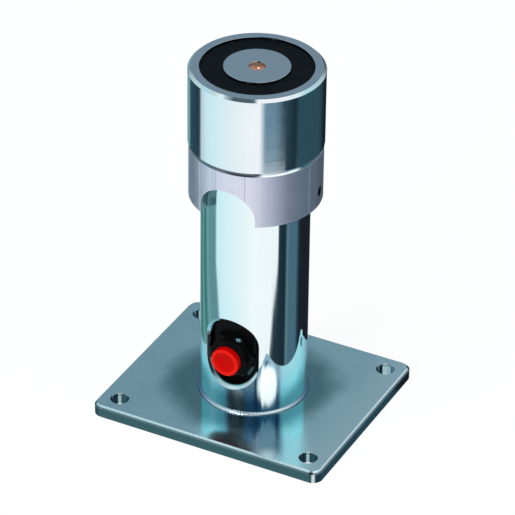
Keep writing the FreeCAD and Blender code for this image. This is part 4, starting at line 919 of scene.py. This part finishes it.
# %% Small metal parts
SMALL_METALS = {
    "copper_wire": ((0.78, 0.36, 0.18, 1.0), (0.62, 0.26, 0.12, 1.0), 0.22, 0.34),
    "dark_screw_steel": ((0.05, 0.05, 0.055, 1.0), (0.10, 0.10, 0.105, 1.0), 0.28, 0.42),
    "bright_screw_steel": ((0.72, 0.74, 0.76, 1.0), (0.60, 0.62, 0.65, 1.0), 0.18, 0.30),
    "spring_steel": ((0.60, 0.61, 0.63, 1.0), (0.48, 0.49, 0.52, 1.0), 0.18, 0.30),
    "contact_brass": ((0.80, 0.62, 0.28, 1.0), (0.68, 0.50, 0.20, 1.0), 0.20, 0.34),
}
for slot, (first, second, smooth, rough) in SMALL_METALS.items():
    tree, shader = new_finish(slot, first, smooth, 1.0)
    grain = noise(tree, position(tree), 1400.0)
    tint(tree, shader, noise(tree, position(tree), 200.0, 1.0), first, second)
    drive(tree, shader, Roughness=ranged(tree, grain, 0.25, smooth, rough), Normal=bump(tree, grain, 0.004))
print("small metals", len(SMALL_METALS))

# %% [markdown]
# ### Every piece gets its finish
#
# The record says which slot each piece belongs to, so none is dressed by hand.

# %% Give every piece its finish
for name, piece in nodes.items():
    for place_in_piece in piece.material_slots:
        place_in_piece.material = finishes[slot_of_node[name]]
print("finishes", len(finishes), "unused", sorted(set(finishes) - set(slot_of_node.values())))

# %% [markdown]
# ## Surfaces from two parameters
#
# The workshop model leaves out what is finer than a millimetre. Threads, wound springs and a weld's
# ripples are all easy to say as formulas, so each is worked out as a grid of points: one parameter
# runs along the piece, the other round its section. The grid's rows and columns then give the faces.

# %% From a grid of points to a piece
def grid_faces(rows, columns, closed_rows):
    """Four-sided faces of a grid whose columns run round and close; rows close too where that is asked."""
    index = np.arange(rows * columns).reshape(rows, columns)
    if closed_rows:
        index = np.concatenate((index, index[:1]))
    beside = np.roll(index, -1, axis=1)
    return np.stack((index[:-1], beside[:-1], beside[1:], index[1:]), -1).reshape(-1, 4)


def piece_from_grid(name, points, slot, closed_rows=False):
    """Smooth piece from points[row, column] in mm; open ends are closed with one face each."""
    rows, columns, _ = points.shape
    faces = grid_faces(rows, columns, closed_rows).tolist()
    if not closed_rows:
        last = (rows - 1) * columns
        faces += [list(range(columns))[::-1], list(range(last, last + columns))]
    mesh = bpy.data.meshes.new(name)
    mesh.from_pydata((points.reshape(-1, 3) * MM).tolist(), [], faces)
    shell = bmesh.new()
    shell.from_mesh(mesh)
    if shell.calc_volume(signed=True) < 0:
        bmesh.ops.reverse_faces(shell, faces=shell.faces)
    shell.to_mesh(mesh)
    shell.free()
    mesh.shade_smooth()
    made = bpy.data.objects.new(name, mesh)
    bpy.context.scene.collection.objects.link(made)
    mesh.materials.append(finishes[slot])
    print(name, "points", rows * columns, "faces", len(faces))
    return made


def lathe_points(radius, level, turns):
    """Profile (radius, level) turned round z: x = r cos a, y = r sin a, z = level."""
    angle = np.linspace(0, 2 * math.pi, turns, endpoint=False)[:, None]
    return np.stack((radius * np.cos(angle), radius * np.sin(angle), level + 0 * angle), -1)


# %% [markdown]
# ## The weld
#
# The tube is welded to the plate all round, and the bead is dressed until only a low, slightly
# rippled fillet is left. Its section is a quarter circle whose radius breathes a little along the
# seam, as it does where one drop of metal has flowed over the last.

# %% Weld bead
tube_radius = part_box("column_tube")[1].x / MM
plate_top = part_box("base_plate")[1].z / MM
bead_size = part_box("weld_bead")[1].x / MM - tube_radius
BEAD_SHARE = 0.85
BEAD_RIPPLE = 0.05
BEAD_DROPS = 96


def weld_points(around, section):
    """Tube radius R, plate top P, bead B: r = R + b cos v and z = P + b sin v.

    b = B (share - ripple (1 - |sin(n a / 2)|)) for n drops. The last points close the foot.
    """
    angle = np.linspace(0, 2 * math.pi, around, endpoint=False)[:, None]
    swell = bead_size * (BEAD_SHARE - BEAD_RIPPLE * (1 - np.abs(np.sin(BEAD_DROPS * angle / 2))))
    turn = np.linspace(0, math.pi / 2, section)[None, :]
    radius = np.concatenate((tube_radius + swell * np.cos(turn), tube_radius + 0 * angle), axis=1)
    level = np.concatenate((plate_top + swell * np.sin(turn), plate_top + 0 * angle), axis=1)
    return np.stack((radius * np.cos(angle), radius * np.sin(angle), level), -1)


weld = piece_from_grid("weld_ripples", weld_points(576, 6), "weld_steel", closed_rows=True)
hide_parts("weld_bead")
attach(weld, "root")

# %% [markdown]
# ## The switch's thread
#
# The button's barrel is threaded so that the nut can clamp it to the panel. A thread is a ridge that
# climbs one pitch per turn: at angle a and depth y the ridge stands where y / pitch + a / 2 pi is a
# whole number. Only the part in front of the nut shows.

# %% Barrel thread
barrel_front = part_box("switch_housing")[0].y / MM
nut_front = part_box("switch_nut")[0].y / MM
BARREL_RADIUS = 8.4
THREAD_PITCH = 0.75
THREAD_HEIGHT = 0.22
THREAD_ENDS = 0.35
THREAD_SUNK = 0.02
THREAD_INSIDE = 0.4
THREAD_SET_BACK = 0.5
NUT_CLEARANCE = 0.02


def thread_points(start, end, across, along):
    """r = R + h (1 - |2 frac(y / pitch + a / 2 pi) - 1|), fading to R at both ends.

    R lies just under the barrel's skin, and the piece closes inside its wall.
    """
    y = np.linspace(start, end, along)[:, None]
    angle = np.linspace(0, 2 * math.pi, across, endpoint=False)[None, :]
    phase = np.mod(y / THREAD_PITCH + angle / (2 * math.pi), 1.0)
    ridge = 1 - np.abs(2 * phase - 1)
    fade = np.clip(np.minimum(y - start, end - y) / THREAD_ENDS, 0, 1)
    radius = BARREL_RADIUS - THREAD_SUNK + THREAD_HEIGHT * ridge * fade
    inside = np.full_like(radius[:1], BARREL_RADIUS - THREAD_INSIDE)
    radius = np.concatenate((inside, radius, inside))
    y = np.concatenate((y[:1], y, y[-1:]))
    return np.stack((radius * np.cos(angle), y + 0 * angle, button_level + radius * np.sin(angle)), -1)


thread_grid = thread_points(barrel_front + THREAD_SET_BACK, nut_front - NUT_CLEARANCE, 72, 40)
thread = piece_from_grid("barrel_thread", thread_grid, "black_moulding", closed_rows=True)
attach(thread, "root")

# %% [markdown]
# ## Springs
#
# Two springs are wound from round wire: one lifts the pin in the pole, one returns the button. The
# wire's centre climbs a helix whose first and last turns lie flat against their neighbours, as on any
# compression spring, so that it stands square.

# %% Wound springs
DEAD_TURNS = 1.0
TURNS = 6.0
PIN_WIRE = 0.8
BUTTON_WIRE = 0.6


def spring_points(turns, wire, outer_radius, low, high, around=10, per_turn=40):
    """Wire centre C(s) = (R cos 2 pi n s, R sin 2 pi n s, h(s)), with s from 0 to 1 and n turns.

    The wire's section is C + w (cos v N + sin v B), where N points outwards and B = T x N.
    """
    share = np.linspace(0, 1, int(turns * per_turn) + 1)
    mean = outer_radius - wire / 2
    dead = DEAD_TURNS / turns
    level = np.interp(share, (0, dead, 1 - dead, 1),
                      (low + wire / 2, low + 1.5 * wire, high - 1.5 * wire, high - wire / 2))
    angle = 2 * math.pi * turns * share
    centre = np.stack((mean * np.cos(angle), mean * np.sin(angle), level), -1)
    outwards = np.stack((np.cos(angle), np.sin(angle), 0 * angle), -1)
    tangent = np.gradient(centre, axis=0)
    tangent /= np.linalg.norm(tangent, axis=1, keepdims=True)
    across = np.cross(tangent, outwards)
    turn = np.linspace(0, 2 * math.pi, around, endpoint=False)[None, :, None]
    return centre[:, None] + wire / 2 * (np.cos(turn) * outwards[:, None] + np.sin(turn) * across[:, None])


low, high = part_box("pin_spring")
pin_grid = spring_points(TURNS, PIN_WIRE, high.x / MM, low.z / MM, high.z / MM)
pin_coil = piece_from_grid("pin_spring_wire", pin_grid, "spring_steel")
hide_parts("pin_spring")
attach(pin_coil, "root")
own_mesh(pin_coil)

low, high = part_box("button_spring")
along_z = spring_points(TURNS, BUTTON_WIRE, (high.x - low.x) / 2 / MM, low.y / MM, high.y / MM)
along_y = np.stack((along_z[..., 0], along_z[..., 2], along_z[..., 1] + button_level), -1)
button_coil = piece_from_grid("button_spring_wire", along_y, "spring_steel")
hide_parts("button_spring")
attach(button_coil, "root")
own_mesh(button_coil)

# %% [markdown]
# ## The magnet's winding
#
# Inside the pot, the bobbin carries hundreds of turns of enamelled wire. From outside only the
# outermost layer can be told apart, so the winding is one closed ring whose skin is scalloped, one
# scallop per wire: at length p round the ring's section, the skin lies w / 2 (1 - |sin(pi p / w)|)
# inside the straight outline.

# %% Winding
low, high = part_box("coil_winding")
WIRE = 1.0
WINDING_INSIDE = 16.7
WINDING_POINTS_PER_WIRE = 3
WINDING_ROUND = 72


def winding_section(inner, outer, bottom, top):
    """Scalloped outline of the winding's section, as radius and level."""
    corners = np.array([(outer, bottom), (outer, top), (inner, top), (inner, bottom), (outer, bottom)])
    inwards = np.array([(-1, 0), (0, -1), (1, 0), (0, 1), (0, 1)])
    run = np.concatenate(([0], np.cumsum(np.linalg.norm(np.diff(corners, axis=0), axis=1))))
    count = int(round(run[-1] / WIRE)) * WINDING_POINTS_PER_WIRE
    place = np.linspace(0, run[-1], count, endpoint=False)
    side = np.searchsorted(run, place, side="right") - 1
    sink = WIRE / 2 * (1 - np.abs(np.sin(math.pi * place / WIRE)))
    radius = np.interp(place, run, corners[:, 0]) + inwards[side, 0] * sink
    level = np.interp(place, run, corners[:, 1]) + inwards[side, 1] * sink
    return radius, level


outline = winding_section(WINDING_INSIDE, high.x / MM, low.z / MM, high.z / MM)
winding_grid = lathe_points(*outline, WINDING_ROUND)
winding = piece_from_grid("winding_turns", winding_grid, "copper_wire", closed_rows=True)
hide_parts("coil_winding")
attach(winding, "root")
